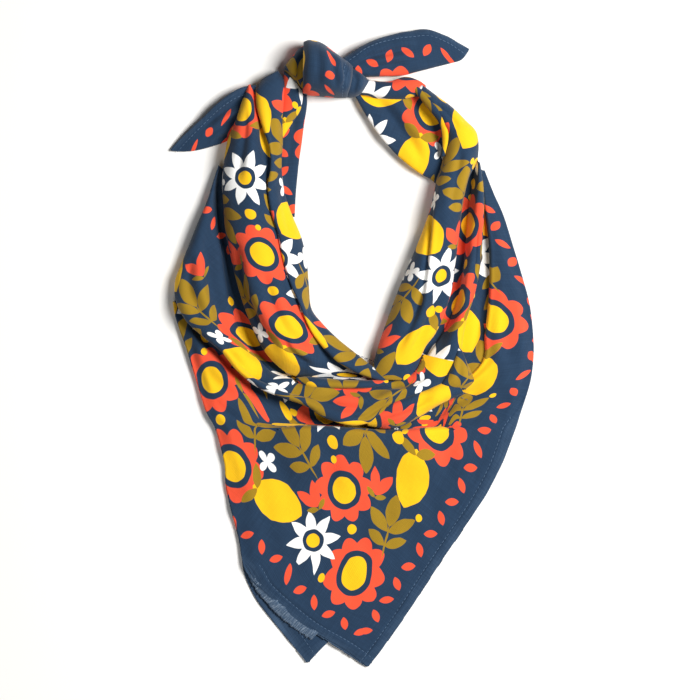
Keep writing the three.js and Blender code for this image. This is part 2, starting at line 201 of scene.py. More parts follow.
def leaf_spray(cloth, place, size):
    """How far inside a stalk with one leaf at its tip and two pairs at its sides, in mm."""
    pair = mirrored(cloth, place)
    shape = leaf(cloth, pair, (0, -size), 0, size * 1.15, 1.6)
    for foot, turn, length, width in ((0.02, 0, 1.0, 0.46), (-0.16, 52, 0.98, 0.40),
                                      (-0.58, 62, 0.74, 0.32)):
        one = leaf(cloth, pair, (0.3, size * foot), turn, size * length, size * width)
        shape = add(cloth, "Math", shape, one, operation="MAXIMUM")
    return shape


def border_leaves(cloth, place, nearest, from_p, from_q):
    """How far inside a row of leaves that lean one way and the other along the edges, in mm."""
    parts = add(cloth, "SeparateXYZ", place)
    by_p = add(cloth, "Math", from_p, from_q, operation="LESS_THAN")
    along = add(cloth, "Mix", by_p, parts.outputs["X"], parts.outputs["Y"], data_type="FLOAT")
    beside = add(cloth, "Math", along, BORDER_PITCH, operation="PINGPONG")
    height = add(cloth, "Math", nearest, BORDER_FOOT, operation="SUBTRACT")
    pair = add(cloth, "CombineXYZ", beside, height, 0.0)
    return leaf(cloth, pair, (BORDER_PITCH / 2 - 3.2, -1.0), 38, 10.2, 5.0)


def printed_cotton(name, strength, fray=0.0):
    """The printed cloth; strength is how much ink shows, 1 on its right side.

    fray is how far pale, undyed thread shows between the dyed ones, as on a rubbed raw edge."""
    cloth = bpy.data.materials.new(name)
    cloth.use_nodes = True
    shader = cloth.node_tree.nodes["Principled BSDF"]
    threads = add(cloth, "UVMap", uv_map="threads")
    place = add(cloth, "VectorMath", threads, (1000, 1000, 0), operation="MULTIPLY")
    wobble = add(cloth, "TexNoise", place, 0.11, 1.0).outputs["Color"]
    wobble = add(cloth, "VectorMath", wobble, (1.8, 1.8, 0), (-0.9, -0.9, 0),
                 operation="MULTIPLY_ADD")
    drawn = add(cloth, "VectorMath", place, wobble, operation="ADD")

    # Threads that take the dye a little unevenly, along both directions of the weave.
    slubs = []
    for stretch in ((1.6, 0.05, 1.0), (0.05, 1.6, 1.0)):
        way = add(cloth, "Mapping", place, (0, 0, 0), (0, 0, 0), stretch)
        slubs.append(add(cloth, "TexNoise", way, 1.0, 2.0))
    slub = add(cloth, "Math", *slubs, operation="MULTIPLY")
    faded = add(cloth, "Math", slub, 1.6, -0.22, operation="MULTIPLY_ADD", use_clamp=True)
    ground = add(cloth, "Mix", faded, linear(NAVY), linear(NAVY_FADED), data_type="RGBA")

    colour = ground
    for kind, at_p, at_q, size, turn in FIELD:
        corner = (at_p + FIELD_SHIFT, at_q + FIELD_SHIFT, 0)
        local = add(cloth, "VectorMath", drawn, corner, operation="SUBTRACT")
        local = add(cloth, "VectorMath", local, (REPEAT / 2, REPEAT / 2, 1),
                    (-REPEAT / 2, -REPEAT / 2, -1), operation="WRAP")
        # Left out where it would run into the margin.
        centre = add(cloth, "VectorMath", drawn, local, operation="SUBTRACT")
        centre = add(cloth, "VectorMath", centre, (CUT / 2, CUT / 2, 0), operation="SUBTRACT")
        centre = add(cloth, "SeparateXYZ",
                     add(cloth, "VectorMath", centre, operation="ABSOLUTE"))
        beyond = add(cloth, "Math", centre.outputs["X"], centre.outputs["Y"], operation="MAXIMUM")
        beyond = add(cloth, "Math", beyond, CUT / 2 - MARGIN - 0.86 * size,
                     operation="GREATER_THAN")
        # Turned so that "up" runs along the diagonal from the point of the bandana.
        local = add(cloth, "VectorRotate", local, (0, 0, 0), math.radians(45 + turn),
                    rotation_type="Z_AXIS")
        shapes, rings = [], []
        if kind == "lemon":
            body = leaf(cloth, local, (0, -size), 0, size * 1.9, size * 1.2)
            stalk = leaf(cloth, mirrored(cloth, local), (0, size * 0.72), 64, size * 0.72,
                         size * 0.3)
            shapes = [(body, YELLOW), (stalk, OLIVE)]
        elif kind == "spray":
            shapes = [(leaf_spray(cloth, local, size), OLIVE)]
        elif kind == "bud":
            petals = leaf(cloth, mirrored(cloth, local), (0, -size), 22, size * 2, size * 0.8)
            foot = leaf(cloth, mirrored(cloth, local), (0, -size * 1.2), 62, size, size * 0.4)
            shapes = [(petals, CORAL), (foot, OLIVE)]
        else:
            radius = add(cloth, "VectorMath", local, operation="LENGTH")
            parts = add(cloth, "SeparateXYZ", local)
            angle = add(cloth, "Math", parts.outputs["X"], parts.outputs["Y"],
                        operation="ARCTAN2")
        if kind == "blossom":
            shapes = [(scalloped(cloth, angle, radius, 9, size, 0.22), CORAL)]
            rings = [(0.58, NAVY), (0.40, YELLOW)]
        if kind == "daisy":
            shapes = [(pointed(cloth, angle, radius, 8, size, 0.52), WHITE)]
            rings = [(0.38, NAVY), (0.24, YELLOW)]
        if kind == "star":
            shapes = [(scalloped(cloth, angle, radius, 4, size, 0.72), WHITE)]
        if kind == "dot":
            rings = [(1.0, YELLOW)]
        for share, tone in rings:
            inside = add(cloth, "Math", size * share, radius, operation="SUBTRACT")
            shapes.append((inside, tone))
        for inside, tone in shapes:
            inside = add(cloth, "Math", beyond, -REPEAT, inside, operation="MULTIPLY_ADD")
            colour = inked(cloth, inside, colour, linear(tone))

    # A plain margin, with the border row in it.
    middle = add(cloth, "VectorMath", place, (CUT / 2, CUT / 2, 0), operation="SUBTRACT")
    middle = add(cloth, "VectorMath", middle, operation="ABSOLUTE")
    parts = add(cloth, "SeparateXYZ", middle)
    from_p = add(cloth, "Math", CUT / 2, parts.outputs["X"], operation="SUBTRACT")
    from_q = add(cloth, "Math", CUT / 2, parts.outputs["Y"], operation="SUBTRACT")
    nearest = add(cloth, "Math", from_p, from_q, operation="MINIMUM")
    margin = add(cloth, "Math", MARGIN, nearest, operation="SUBTRACT")
    colour = inked(cloth, margin, colour, ground)
    colour = inked(cloth, border_leaves(cloth, place, nearest, from_p, from_q), colour,
                   linear(CORAL))

    # Ink that shows through, has sunk in unevenly, and hems that have worn paler.
    colour = add(cloth, "Mix", 1 - strength, colour, linear(WRONG_SIDE), data_type="RGBA")
    mottle = add(cloth, "TexNoise", place, 0.045, 4.0)
    shade = add(cloth, "Math", mottle, 0.22, 0.88, operation="MULTIPLY_ADD")
    thread_shade = add(cloth, "Math", slub, 0.26, 0.94, operation="MULTIPLY_ADD")
    shade = add(cloth, "Math", shade, thread_shade, operation="MULTIPLY")
    colour = add(cloth, "Mix", 1.0, colour, shade, data_type="RGBA", blend_type="MULTIPLY")
    worn = add(cloth, "Math", nearest, -1 / 9, 1.0, operation="MULTIPLY_ADD", use_clamp=True)
    worn = add(cloth, "Math", worn, add(cloth, "Math", mottle, slub, operation="MULTIPLY"),
               operation="MULTIPLY", use_clamp=True)
    worn = add(cloth, "Math", worn, 1.7, -0.06, operation="MULTIPLY_ADD", use_clamp=True)
    colour = add(cloth, "Mix", worn, colour, linear(WORN), data_type="RGBA")
    if fray:
        loose = add(cloth, "Mapping", place, (0, 0, 0), (0, 0, 0.1), (0.35, 1.9, 1.0))
        loose = add(cloth, "TexNoise", loose, 1.1, 3.0)
        loose = add(cloth, "Math", loose, 5.0, -2.55, operation="MULTIPLY_ADD", use_clamp=True)
        loose = add(cloth, "Math", loose, fray, operation="MULTIPLY")
        colour = add(cloth, "Mix", loose, colour, linear(UNDYED), data_type="RGBA")
    cloth.node_tree.links.new(colour.outputs[2], shader.inputs["Base Color"])

    # The weave: threads over and under each other, and slubs, as fine relief.
    bands = [add(cloth, "TexWave", place, math.pi / 10 / THREAD, 0.6, 1.0, bands_direction=axis)
             for axis in ("X", "Y")]
    weave = add(cloth, "Math", bands[0].outputs["Fac"], bands[1].outputs["Fac"],
                operation="MULTIPLY")
    relief = add(cloth, "Math", slub, 1.2, weave, operation="MULTIPLY_ADD")
    bump = add(cloth, "Bump")
    bump.inputs["Strength"].default_value = 0.35
    bump.inputs["Distance"].default_value = 0.0004
    cloth.node_tree.links.new(relief.outputs[0], bump.inputs["Height"])
    cloth.node_tree.links.new(bump.outputs[0], shader.inputs["Normal"])
    shader.inputs["Roughness"].default_value = 0.86
    shader.inputs["IOR"].default_value = 1.5
    shader.inputs["Specular IOR Level"].default_value = 0.28
    shader.inputs["Sheen Weight"].default_value = 0.12
    shader.inputs["Sheen Roughness"].default_value = 0.5
    return cloth


right_side = printed_cotton("printed_cotton_right_side", 1.0)
wrong_side = printed_cotton("printed_cotton_wrong_side", 0.45)
frayed_side = printed_cotton("printed_cotton_frayed_wrong_side", 0.45, 0.8)

# ---- The under layer of the double triangle ----
# The half of the square that lies against the table, cut off by the front layer except for a
# strip and a point at the lower left. Its hems are turned twice and stitched once.

CENTRE = (0.03, 0.45)  # mm, the middle of the laid bandana in its own drawing
FIBRE = 0.55  # mm, one ply of the cloth


def along_rows(rows, at):
    """Smooth values between the rows of a table, at fractional row numbers."""
    rows = np.asarray(rows, float)
    padded = np.vstack([2 * rows[0] - rows[1], rows, 2 * rows[-1] - rows[-2]])
    first = np.clip(np.floor(at).astype(int), 0, len(rows) - 2)
    t = (np.asarray(at) - first)[:, None]
    before, start, end, after = (padded[first + k] for k in range(4))
    return ((2 * t**3 - 3 * t**2 + 1) * start + (t**3 - 2 * t**2 + t) * (end - before) / 2
            + (3 * t**2 - 2 * t**3) * end + (t**3 - t**2) * (after - start) / 2)


def smooth(value, low, high):
    """0 below low, 1 above high, and a soft step between them."""
    t = np.clip((value - low) / (high - low), 0, 1)
    return t * t * (3 - 2 * t)


def surface_normals(points):
    """Upward unit normals of a grid of points."""
    along, across = np.gradient(points, axis=0), np.gradient(points, axis=1)
    normal = np.cross(across, along)
    normal /= np.linalg.norm(normal, axis=2, keepdims=True) + 1e-9
    middle = normal[:, points.shape[1] // 3:2 * points.shape[1] // 3, 2]
    return -normal if middle.mean() < 0 else normal


def crease(xy, path, width, depth, lean=0.0):
    """Depth of a soft trough along a path: deepest in the middle, gone at both ends.

    lean raises a ridge of that share beside it, on the left of the path."""
    path = along_rows(path, np.linspace(0, len(path) - 1, 8 * len(path)))
    start, step = path[:-1], np.diff(path, axis=0)
    length = np.linalg.norm(step, axis=1)
    travelled = np.concatenate([[0], np.cumsum(length)])
    nearest = np.full(len(xy), 1e9)
    side = np.zeros(len(xy))
    place = np.zeros(len(xy))
    for k, (origin, way) in enumerate(zip(start, step)):
        offset = xy - origin
        t = np.clip(offset @ way / length[k]**2, 0, 1)
        apart = np.linalg.norm(offset - t[:, None] * way, axis=1)
        closer = apart < nearest
        nearest = np.where(closer, apart, nearest)
        side = np.where(closer, np.sign(way[0] * offset[:, 1] - way[1] * offset[:, 0]), side)
        place = np.where(closer, (travelled[k] + t * length[k]) / travelled[-1], place)
    fade = smooth(place, 0, 0.3) * smooth(1 - place, 0, 0.3)
    signed = nearest * side
    ridge = lean * np.exp(-((signed - 1.9 * width) / (1.3 * width))**2)
    return depth * fade * (ridge - np.exp(-(nearest / width)**2))


RUMPLE_WAVES = np.random.default_rng(11).uniform((0, 13, 0), (math.pi, 38, 2 * math.pi), (9, 3))
RUMPLE_HEIGHT = 0.11  # mm, each wave


def rumple(xy):
    """Faint unevenness of handled cloth, in mm; plies that lie on each other share it."""
    return RUMPLE_HEIGHT * sum(
        np.sin((xy[:, 0] * math.cos(way) + xy[:, 1] * math.sin(way)) * 2 * math.pi / length + phase)
        for way, length, phase in RUMPLE_WAVES)


def pressed(points, creases):
    """The grid with its creases pressed in along its normals, on its upper side, and rumpled."""
    normal = surface_normals(points)
    xy = points[..., :2].reshape(-1, 2)
    moved = sum((crease(xy, *one) for one in creases), rumple(xy))
    upward = smooth(normal[..., 2], 0.05, 0.65)
    points = points + normal * (moved.reshape(points.shape[:2]) * upward)[..., None]
    points[..., 2] = np.maximum(points[..., 2], 0.75)
    return points


cloth_grids = {}


def cloth_piece(name, points, threads, keep=None, sides_up=(0, 1)):
    """One ply of cloth through a grid of points in mm, with its place on the square in mm.

    sides_up is (1, 0) where the wrong side of the cloth lies uppermost."""
    cloth_grids[name] = points, threads
    rows, columns = points.shape[:2]
    normal = surface_normals(points)
    back = points - normal * FIBRE
    back[..., 2] = np.maximum(back[..., 2], 0.12)
    count = rows * columns
    number = np.arange(count).reshape(rows, columns)
    quads = np.stack([number[:-1, :-1], number[:-1, 1:], number[1:, 1:], number[1:, :-1]], -1)
    quads = quads[keep] if keep is not None else quads.reshape(-1, 4)
    corner = points.reshape(-1, 3)[quads]
    facing = np.cross(corner[:, 2] - corner[:, 0], corner[:, 3] - corner[:, 1])
    if (facing * normal.reshape(-1, 3)[quads[:, 0]]).sum() < 0:
        quads = quads[:, ::-1]
    sides = np.concatenate([quads[:, [k, (k + 1) % 4]] for k in range(4)])
    keys = sides.min(axis=1) * count + sides.max(axis=1)
    _, first, times = np.unique(keys, return_index=True, return_counts=True)
    rim = sides[first[times == 1]]
    rim = np.stack([rim[:, 1], rim[:, 0], rim[:, 0] + count, rim[:, 1] + count], -1)
    faces = np.concatenate([quads, quads[:, ::-1] + count, rim])
    used = np.unique(faces)
    renumber = np.zeros(2 * count, int)
    renumber[used] = np.arange(len(used))
    places = np.concatenate([points.reshape(-1, 3), back.reshape(-1, 3)])[used]
    places[:, 0] -= CENTRE[0]
    places[:, 1] -= CENTRE[1]
    mesh = bpy.data.meshes.new(name)
    mesh.from_pydata((places / 1000).tolist(), [], renumber[faces].tolist())
    uv = np.tile(threads.reshape(-1, 2), (2, 1))[used] / 1000
    loops = renumber[faces].reshape(-1)
    layer = mesh.uv_layers.new(name="threads")
    layer.data.foreach_set("uv", uv[loops].reshape(-1))
    mesh.materials.append(right_side)
    mesh.materials.append(wrong_side)
    side_of_face = np.repeat([sides_up[0], sides_up[1]], [len(quads), len(quads) + len(rim)])
    mesh.polygons.foreach_set("material_index", side_of_face)
    mesh.polygons.foreach_set("use_smooth", np.ones(len(faces), bool))
    mesh.update()
    piece = bpy.data.objects.new(name, mesh)
    scene.collection.objects.link(piece)
    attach(piece, "root")
    return piece


# left x, left y, right x, right y, height, rows from the hidden top down to the point
UNDER_ROWS = np.array([
    [-60, -47, 58, -50, 1.0],
    [-79, -70, 90, -66, 1.0],
    [-82, -100, 82, -100, 1.0],
    [-76.4, -133, 54, -138, 1.0],
    [-75.5, -154, 36, -162, 1.0],
    [-68, -173, 12, -184, 1.0],
    [-54, -192, -10, -200, 1.0],
    [-42, -206.5, -19.5, -208.8, 1.0],
    [-30.8, -219.5, -29.4, -219.4, 1.0],
])
UNDER_TIP = np.array([-30.1, -219.6])
at = np.linspace(0, len(UNDER_ROWS) - 1, 150)
line = along_rows(UNDER_ROWS, at)
share = np.linspace(0, 1, 96)
under_points = np.zeros((len(at), len(share), 3))
for axis in (0, 1):
    under_points[..., axis] = line[:, axis:axis + 1] * (1 - share) + line[:, axis + 2:axis + 3] * share
under_points[..., 2] = line[:, 4:5]
from_left = np.minimum(1, share * 40) * np.minimum(1, (1 - share) * 40)
under_points[..., 2] += 0.5 * from_left + 0.25 * np.sin(under_points[..., 0] / 9 + under_points[..., 1] / 14)
offset = under_points[..., :2] - UNDER_TIP
under_threads = np.stack([offset @ np.array([-0.70, 0.71]), offset @ np.array([0.82, 0.57])], -1)
under_threads = np.maximum(under_threads, 0.0)
under_points = pressed(under_points, [
    ([(-70, -160), (-52, -188), (-34, -208)], 3.0, 0.5, 0.3),
    ([(-62, -150), (-45, -180), (-25, -203)], 2.5, 0.4, 0.0),
])
under_layer = cloth_piece("under_layer", under_points, under_threads)
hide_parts("under_panel")

# ---- The front layer and the two flanks ----
# The upper half of the square: one flat ply from the point up to a folded top edge, carrying on
# without a seam up both sides of the loop. Its two straight edges are hems; its left side and the
# flanks' outer sides are soft folds.

TIP = np.array([11.5, -223.0])
EDGE_RIGHT = np.array([0.522, 0.853])  # direction of the right hem from the point
EDGE_LEFT = np.array([-0.769, 0.639])
# left x, y, height; right x, y, height
FRONT_ROWS = np.array([
    [10.8, -222.4, 1.5, 12.2, -222.4, 1.5],
    [-2.4, -213.8, 1.9, 19, -213.6, 1.6],
    [-15.6, -205, 3.0, 27, -202.6, 1.7],
    [-44, -185.4, 3.6, 42, -181, 1.7],
    [-72, -158, 3.8, 63, -149, 1.8],
    [-78, -131, 3.8, 78, -127, 2.2],
    [-86, -99, 4.2, 95, -101, 3.2],
    [-87.4, -80, 4.6, 106, -79, 4.4],
    [-93.4, -57, 5.2, 113.6, -57, 5.6],
])
# The same for the two flanks, above the row of the folded top edge.
LEFT_FLANK_ROWS = np.array([
    [-99.2, -46, 5.0, 20, -53, 2.4],
    [-103, -36, 5.0, -10, -44, 2.4],
    [-106, -26, 5.0, -30, -33, 2.4],
    [-110, -13, 5.0, -52, -18, 2.4],
    [-114, 0, 5.0, -74, -2, 2.4],
    [-119, 14, 4.8, -97, 12, 2.4],
    [-122, 24, 4.4, -112, 22, 2.4],
    [-123.4, 33, 4.2, -119, 31, 2.4],
])
RIGHT_FLANK_ROWS = np.array([
    [34, -56, 2.3, 117, -46, 5.6],
    [50, -42, 3, 121, -34, 5.6],
    [70, -31, 5, 124.6, -21, 5.6],
    [93, -10, 8.4, 126.4, -5, 5.6],
    [95.6, 10, 9, 126, 11, 5.6],
    [98, 32, 9, 123.6, 31, 5.6],
    [98.8, 52, 8.6, 118.2, 51.4, 5.6],
    [98.4, 72, 8, 112, 72, 5.4],
    [96, 92, 7, 105.4, 93, 5.0],
    [93.6, 108, 6, 98.6, 108.4, 4.6],
    [91.4, 125, 5, 92.2, 124.6, 4.4],
])
HEM = 7.0  # mm from an edge to its row of stitches
FOLD_LEFT, FOLD_RIGHT = -52.0, 74.0  # x of the ends of the folded top edge

top_left, top_right = FRONT_ROWS[-1, 0], FRONT_ROWS[-1, 3]
cut_left = (FOLD_LEFT - top_left) / (top_right - top_left)
cut_right = (FOLD_RIGHT - top_left) / (top_right - top_left)


def between(rows, share):
    return rows[:, :3] * (1 - share) + rows[:, 3:6] * share


left_block = np.vstack([np.hstack([FRONT_ROWS[:, :3], between(FRONT_ROWS, cut_left)]),
                        LEFT_FLANK_ROWS])
right_block = np.vstack([np.hstack([between(FRONT_ROWS, cut_right), FRONT_ROWS[:, 3:6]]),
                         RIGHT_FLANK_ROWS])
front_steps = 132
front_at = np.linspace(0, len(FRONT_ROWS) - 1, front_steps)
left_at = np.concatenate([front_at, np.linspace(8, 16, 88)[1:]])
right_at = np.concatenate([front_at, np.linspace(8, 19, 156)[1:]])
left_lines = along_rows(left_block, left_at)
right_lines = along_rows(right_block, right_at)
left_columns, middle_columns, right_columns = 60, 82, 56
left_share = np.linspace(0, 1, left_columns)**1.25
right_share = 1 - np.linspace(1, 0, right_columns)**1.35
right_share = (right_share - right_share[0]) / (right_share[-1] - right_share[0])
middle_share = np.linspace(0, 1, middle_columns)[1:-1]
total_rows = len(right_at)
curl_steps = 7
total_columns = curl_steps + left_columns + len(middle_share) + right_columns + curl_steps
front_points = np.zeros((total_rows, total_columns, 3))
front_points[:] = np.nan


def fill(lines, share, first_column):
    n = len(lines)
    block = lines[:, None, :3] * (1 - share)[None, :, None] + lines[:, None, 3:6] * share[None, :, None]
    front_points[:n, first_column:first_column + len(share)] = block


first_left = curl_steps
first_middle = first_left + left_columns
first_right = first_middle + len(middle_share)
fill(left_lines, left_share, first_left)
fill(np.hstack([left_lines[:front_steps, 3:6], right_lines[:front_steps, :3]]), middle_share,
     first_middle)
fill(right_lines, right_share, first_right)

# Crown: how far the cloth lies above its two edges.
x, y = front_points[..., 0], front_points[..., 1]
row_number = np.arange(total_rows)[:, None]
left_edge_x = np.full(total_rows, np.nan)
left_edge_x[:len(left_at)] = left_lines[:, 0]
inner_left_x = np.full(total_rows, np.nan)
inner_left_x[:len(left_at)] = left_lines[:, 3]
from_left_edge = x - left_edge_x[:, None]
from_right_edge = right_lines[:, 3][:, None] - x
crown_height = np.interp(np.arange(total_rows), [0, 20, 70, 110, front_steps, front_steps + 60,
                                                 total_rows], [0.3, 0.7, 1.2, 2.4, 3.6, 4.5, 1.0])
rise_left = smooth(from_left_edge, -1, 9)
rise_right = smooth(from_right_edge, -1, 9)
in_left = np.zeros(front_points.shape[:2], bool)
in_left[:, :first_middle] = True
in_right = np.zeros_like(in_left)
in_right[:, first_right:] = True
lift = np.where(np.isnan(rise_left), 1, rise_left)
lift = np.where(in_right, rise_right, lift * np.where(in_left, 1, rise_right))
above = row_number - front_steps
fall_left = 1 - 0.75 * smooth(above, 0, 14) * smooth(inner_left_x[:, None] - x, 9, 0)
fall_left = np.where(np.isnan(fall_left), 1, fall_left)
fall_right = 1 - 0.6 * smooth(above, 0, 14) * smooth(x - right_lines[:, 0][:, None], 8, 0)
front_points[..., 2] += crown_height[:, None] * lift * np.where(in_left, fall_left,
                                                                np.where(in_right, fall_right, 1))

# The folded top edge bows down a little towards its right half.
bow = np.exp(-((x - 26) / 34)**2) * smooth(row_number, 96, front_steps) * (above < 0)
front_points[..., 1] -= 3.0 * np.nan_to_num(bow)
y = front_points[..., 1]

# Behind the folded top edge the ply dips from both flanks into the hollow of the cowl, and the
# edge itself stands up in front of it.
dip = smooth(above, 0, 6) * np.where(in_left, smooth(x, -82, -38), smooth(-x, -74, -58))
front_points[..., 2] += dip * (2.0 - front_points[..., 2])
front_points[..., 2] += (6.5 * smooth(row_number, 92, front_steps) * smooth(x, -66, -30)
                         * smooth(-x, -73, -46) * (above < 0))

# The places on the square: the right hem is one edge of it, the lower left hem the next.
steps = front_points[..., :2] - TIP
across_right = np.array([-EDGE_RIGHT[1], EDGE_RIGHT[0]])
across_left = np.array([EDGE_LEFT[1], -EDGE_LEFT[0]])
edge_offset = (right_lines[:, 3:5] - TIP) @ across_right
straight = np.where(np.arange(total_rows) < front_steps, edge_offset, edge_offset[front_steps - 1])
margin_row = np.interp(np.arange(total_rows) - front_steps, [0, 14, 42, 70, 84, 112, 140, 156],
                       [0, 3, 12, 24, 22, 12, 9, 8])
above_fold = np.arange(total_rows) >= front_steps
p_front = steps @ across_right - straight[:, None]
above_rows = np.arange(total_rows)[:, None] - front_steps
p_flank = margin_row[:, None] + from_right_edge * (0.853 + 0.11 * smooth(above_rows, 0, 40))
p = np.where(in_right & above_fold[:, None], p_flank, p_front)
q = steps @ across_left
left_hem_offset = (left_lines[:, :2] - TIP) @ across_left
hem_q = np.interp(np.arange(total_rows), np.arange(len(left_at)), left_hem_offset)
hem_rows = smooth(np.arange(total_rows), 74, 60)
q = q - (hem_q * hem_rows)[:, None] * smooth(from_right_edge, 0, 60)
right_travel = np.concatenate([[0], np.cumsum(np.linalg.norm(np.diff(right_lines[:, 3:5], axis=0), axis=1))])
q_edge = q[front_steps - 1, total_columns - curl_steps - 1]
q_flank = (q_edge + (right_travel - right_travel[front_steps - 1])[:, None]
           - from_right_edge * 0.639 * (1 - smooth(above_rows, 0, 60)))
q = np.where(in_right & above_fold[:, None], q_flank, q)
front_threads = np.stack([p, q], -1)
# The fold takes up cloth, so the print in the hollow has moved on from the print in front of it.
front_threads += 40.0 * np.nan_to_num(dip)[..., None]

# Edges curl under: a little at the hems, a soft fold elsewhere.
curl = np.linspace(0, 1, curl_steps + 1)[1:]
fold_left = 0.12 + smooth(np.arange(total_rows), 66, 84)
fold_right = 0.12 + smooth(np.arange(total_rows), 112, 136)
for column_at, outward, amount, edge_column in (
        (lambda k: curl_steps - 1 - k, -1, fold_left, first_left),
        (lambda k: total_columns - curl_steps + k, 1, fold_right, total_columns - curl_steps - 1)):
    edge = front_points[:, edge_column].copy()
    edge_threads = front_threads[:, edge_column].copy()
    for k, turn in enumerate(curl * 2.6):
        radius = 2.2 * amount
        out = radius * math.sin(turn) * 0.6 - np.maximum(0, turn - 1.6) * radius * 1.6
        down = radius * (1 - math.cos(turn)) * 0.9
        column = column_at(k)
        front_points[:, column, 0] = edge[:, 0] + outward * out * 0.9
        front_points[:, column, 1] = edge[:, 1]
        front_points[:, column, 2] = np.maximum(edge[:, 2] - down, 0.9)
        front_threads[:, column] = edge_threads
        front_threads[:, column, 0] -= outward * radius * turn * 0.8
        front_threads[:, column, 1] += outward * radius * turn * 0.5

# The folded top edge: the middle columns roll over and down behind, less so at its two ends.
FOLD_ROWS = 11
columns = slice(first_middle, first_right)
edge = front_points[front_steps - 1, columns]
fullness = 0.12 + 0.88 * smooth(edge[:, 0], FOLD_LEFT, FOLD_LEFT + 16) * smooth(
    -edge[:, 0], -FOLD_RIGHT, -FOLD_RIGHT + 12)
for k in range(FOLD_ROWS):
    turn = (k + 1) * 0.30
    row = front_steps + k
    radius = 3.6 * fullness
    front_points[row, columns, 0] = edge[:, 0]
    front_points[row, columns, 1] = edge[:, 1] + radius * math.sin(turn) - max(0, turn - 2.4) * 3
    front_points[row, columns, 2] = np.maximum(
        edge[:, 2] - radius * (1 - math.cos(turn)) * 1.7, 0.8)
    front_threads[row, columns] = (front_threads[front_steps - 1, columns]
                                   + (radius * turn * 0.72)[:, None])

# The right flank's inner edge turns down into the valley beside it.
INNER_COLUMNS = 5
rows_above = np.arange(front_steps + FOLD_ROWS + 1, total_rows)
beside = front_points[rows_above, first_right]
beside_threads = front_threads[rows_above, first_right]
for k in range(INNER_COLUMNS):
    turn = (k + 1) * 0.45
    column = first_right - 1 - k
    front_points[rows_above, column] = beside + np.array(
        [-2.2 * math.sin(turn), 0, -4.4 * (1 - math.cos(turn))])
    front_points[rows_above, column, 2] = np.maximum(front_points[rows_above, column, 2], 0.9)
    front_threads[rows_above, column] = beside_threads + turn * np.array([1.4, -1.4])

keep = ~np.isnan(front_points[..., 0])
keep_quads = keep[:-1, :-1] & keep[:-1, 1:] & keep[1:, :-1] & keep[1:, 1:]
torn = np.zeros_like(keep_quads)
torn[front_steps:front_steps + FOLD_ROWS + 1, first_middle - 1] = True
torn[front_steps:front_steps + FOLD_ROWS + 1, first_right - 1] = True
torn[front_steps + FOLD_ROWS:front_steps + FOLD_ROWS + 1, columns] = True
keep_quads &= ~torn
filled = np.nan_to_num(front_points)
filled = pressed(filled, [
    ([(-60, -70), (-40, -100), (-30, -140)], 7.0, 0.9, 0.5),
    ([(20, -62), (28, -95), (20, -130)], 8.0, 0.8, 0.4),
    ([(70, -62), (64, -90), (52, -118)], 6.0, 0.9, 0.5),
    ([(-20, -60), (-14, -80), (-12, -104)], 6.0, 0.6, 0.4),
    ([(104, -70), (88, -98), (66, -132)], 3.0, 0.6, 0.5),
    ([(96, -70), (80, -100), (60, -130)], 2.4, 0.4, 0.4),
    ([(-84, -70), (-78, -100), (-70, -130)], 4.0, 0.7, 0.4),
    ([(-64, -160), (-40, -182), (-12, -200)], 2.0, 0.5, 0.4),
    ([(-100, -30), (-88, -44), (-70, -54)], 3.0, 0.8, 0.6),
    ([(112, -20), (108, 10), (106, 40)], 4.0, 1.0, 0.5),
    ([(118, -30), (100, -40), (80, -48)], 4.0, 0.9, 0.5),
    ([(-124, 36), (-110, 16), (-93, -2), (-80, -15), (-64, -28), (-46, -37)], 4.0, 4.6, 0.25),
    ([(44, -52), (56, -46), (68, -40), (84, -32), (98, -23)], 4.0, 3.4, 0.2),
    ([(-106, -6), (-96, -22), (-80, -34)], 4.0, 1.6, 0.6),
    ([(-112, 8), (-108, -14), (-100, -34)], 3.4, 1.2, 0.6),
])
# The hems are two plies thicker, and the row of stitches pulls a small groove.
hem_edge = np.minimum(np.where(np.arange(total_rows)[:, None] < front_steps + 40, front_threads[..., 0], 99),
                      np.where(np.arange(total_rows)[:, None] < 70, front_threads[..., 1], 99))
hem_edge = np.nan_to_num(hem_edge, nan=99)
filled[..., 2] += (0.5 * (1 - smooth(hem_edge, 5.8, 7.4)) * (hem_edge > 0.4)
                   - 0.3 * np.exp(-((hem_edge - HEM) / 0.8)**2))
# Sewing has drawn the hems up into small puckers.
along_hem = np.nan_to_num(front_threads).sum(axis=-1)
filled[..., 2] += (0.13 * np.sin(along_hem / 1.15 + 1.4 * np.sin(along_hem / 9.0))
                   * (1 - smooth(hem_edge, 6.5, 10.0)) * smooth(hem_edge, 0.0, 2.5))
front_layer = cloth_piece("front_layer", filled, np.nan_to_num(front_threads), keep_quads)
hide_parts("front_panel", "left_flank", "right_flank", "cowl_backing_1",
            "cowl_backing_2")

# ---- The turned-out hem between the two layers ----
# At the lower left a strip of the under layer's hem has rolled outwards beside the front layer, and
# shows its paler wrong side and loose thread ends.

TURNED_ROWS = np.array([
    [-73, -156, 3.0, -66, -150, 3.8],
    [-67.6, -167, 2.6, -58.6, -160.0, 3.6],
    [-58.6, -179, 2.6, -49, -171.6, 3.6],
    [-47.6, -189.4, 2.6, -39, -181.4, 3.4],
    [-36.4, -198.4, 2.6, -28.6, -190, 3.2],
    [-27.4, -203.6, 2.4, -21, -196.4, 3.0],
])
turned_line = along_rows(TURNED_ROWS, np.linspace(0, len(TURNED_ROWS) - 1, 96))
turned_share = np.linspace(0, 1, 16)[None, :, None]
turned_points = turned_line[:, None, :3] * (1 - turned_share) + turned_line[:, None, 3:] * turned_share
fray = np.random.default_rng(7).normal(0, 0.35, turned_points.shape[:2])
turned_points[..., 2] += 1.1 * np.sin(math.pi * turned_share[..., 0]) + 0.35 * np.abs(fray)
turned_points[:, 0, :2] += 1.3 * fray[:, :1] * np.array([-0.75, -0.66])
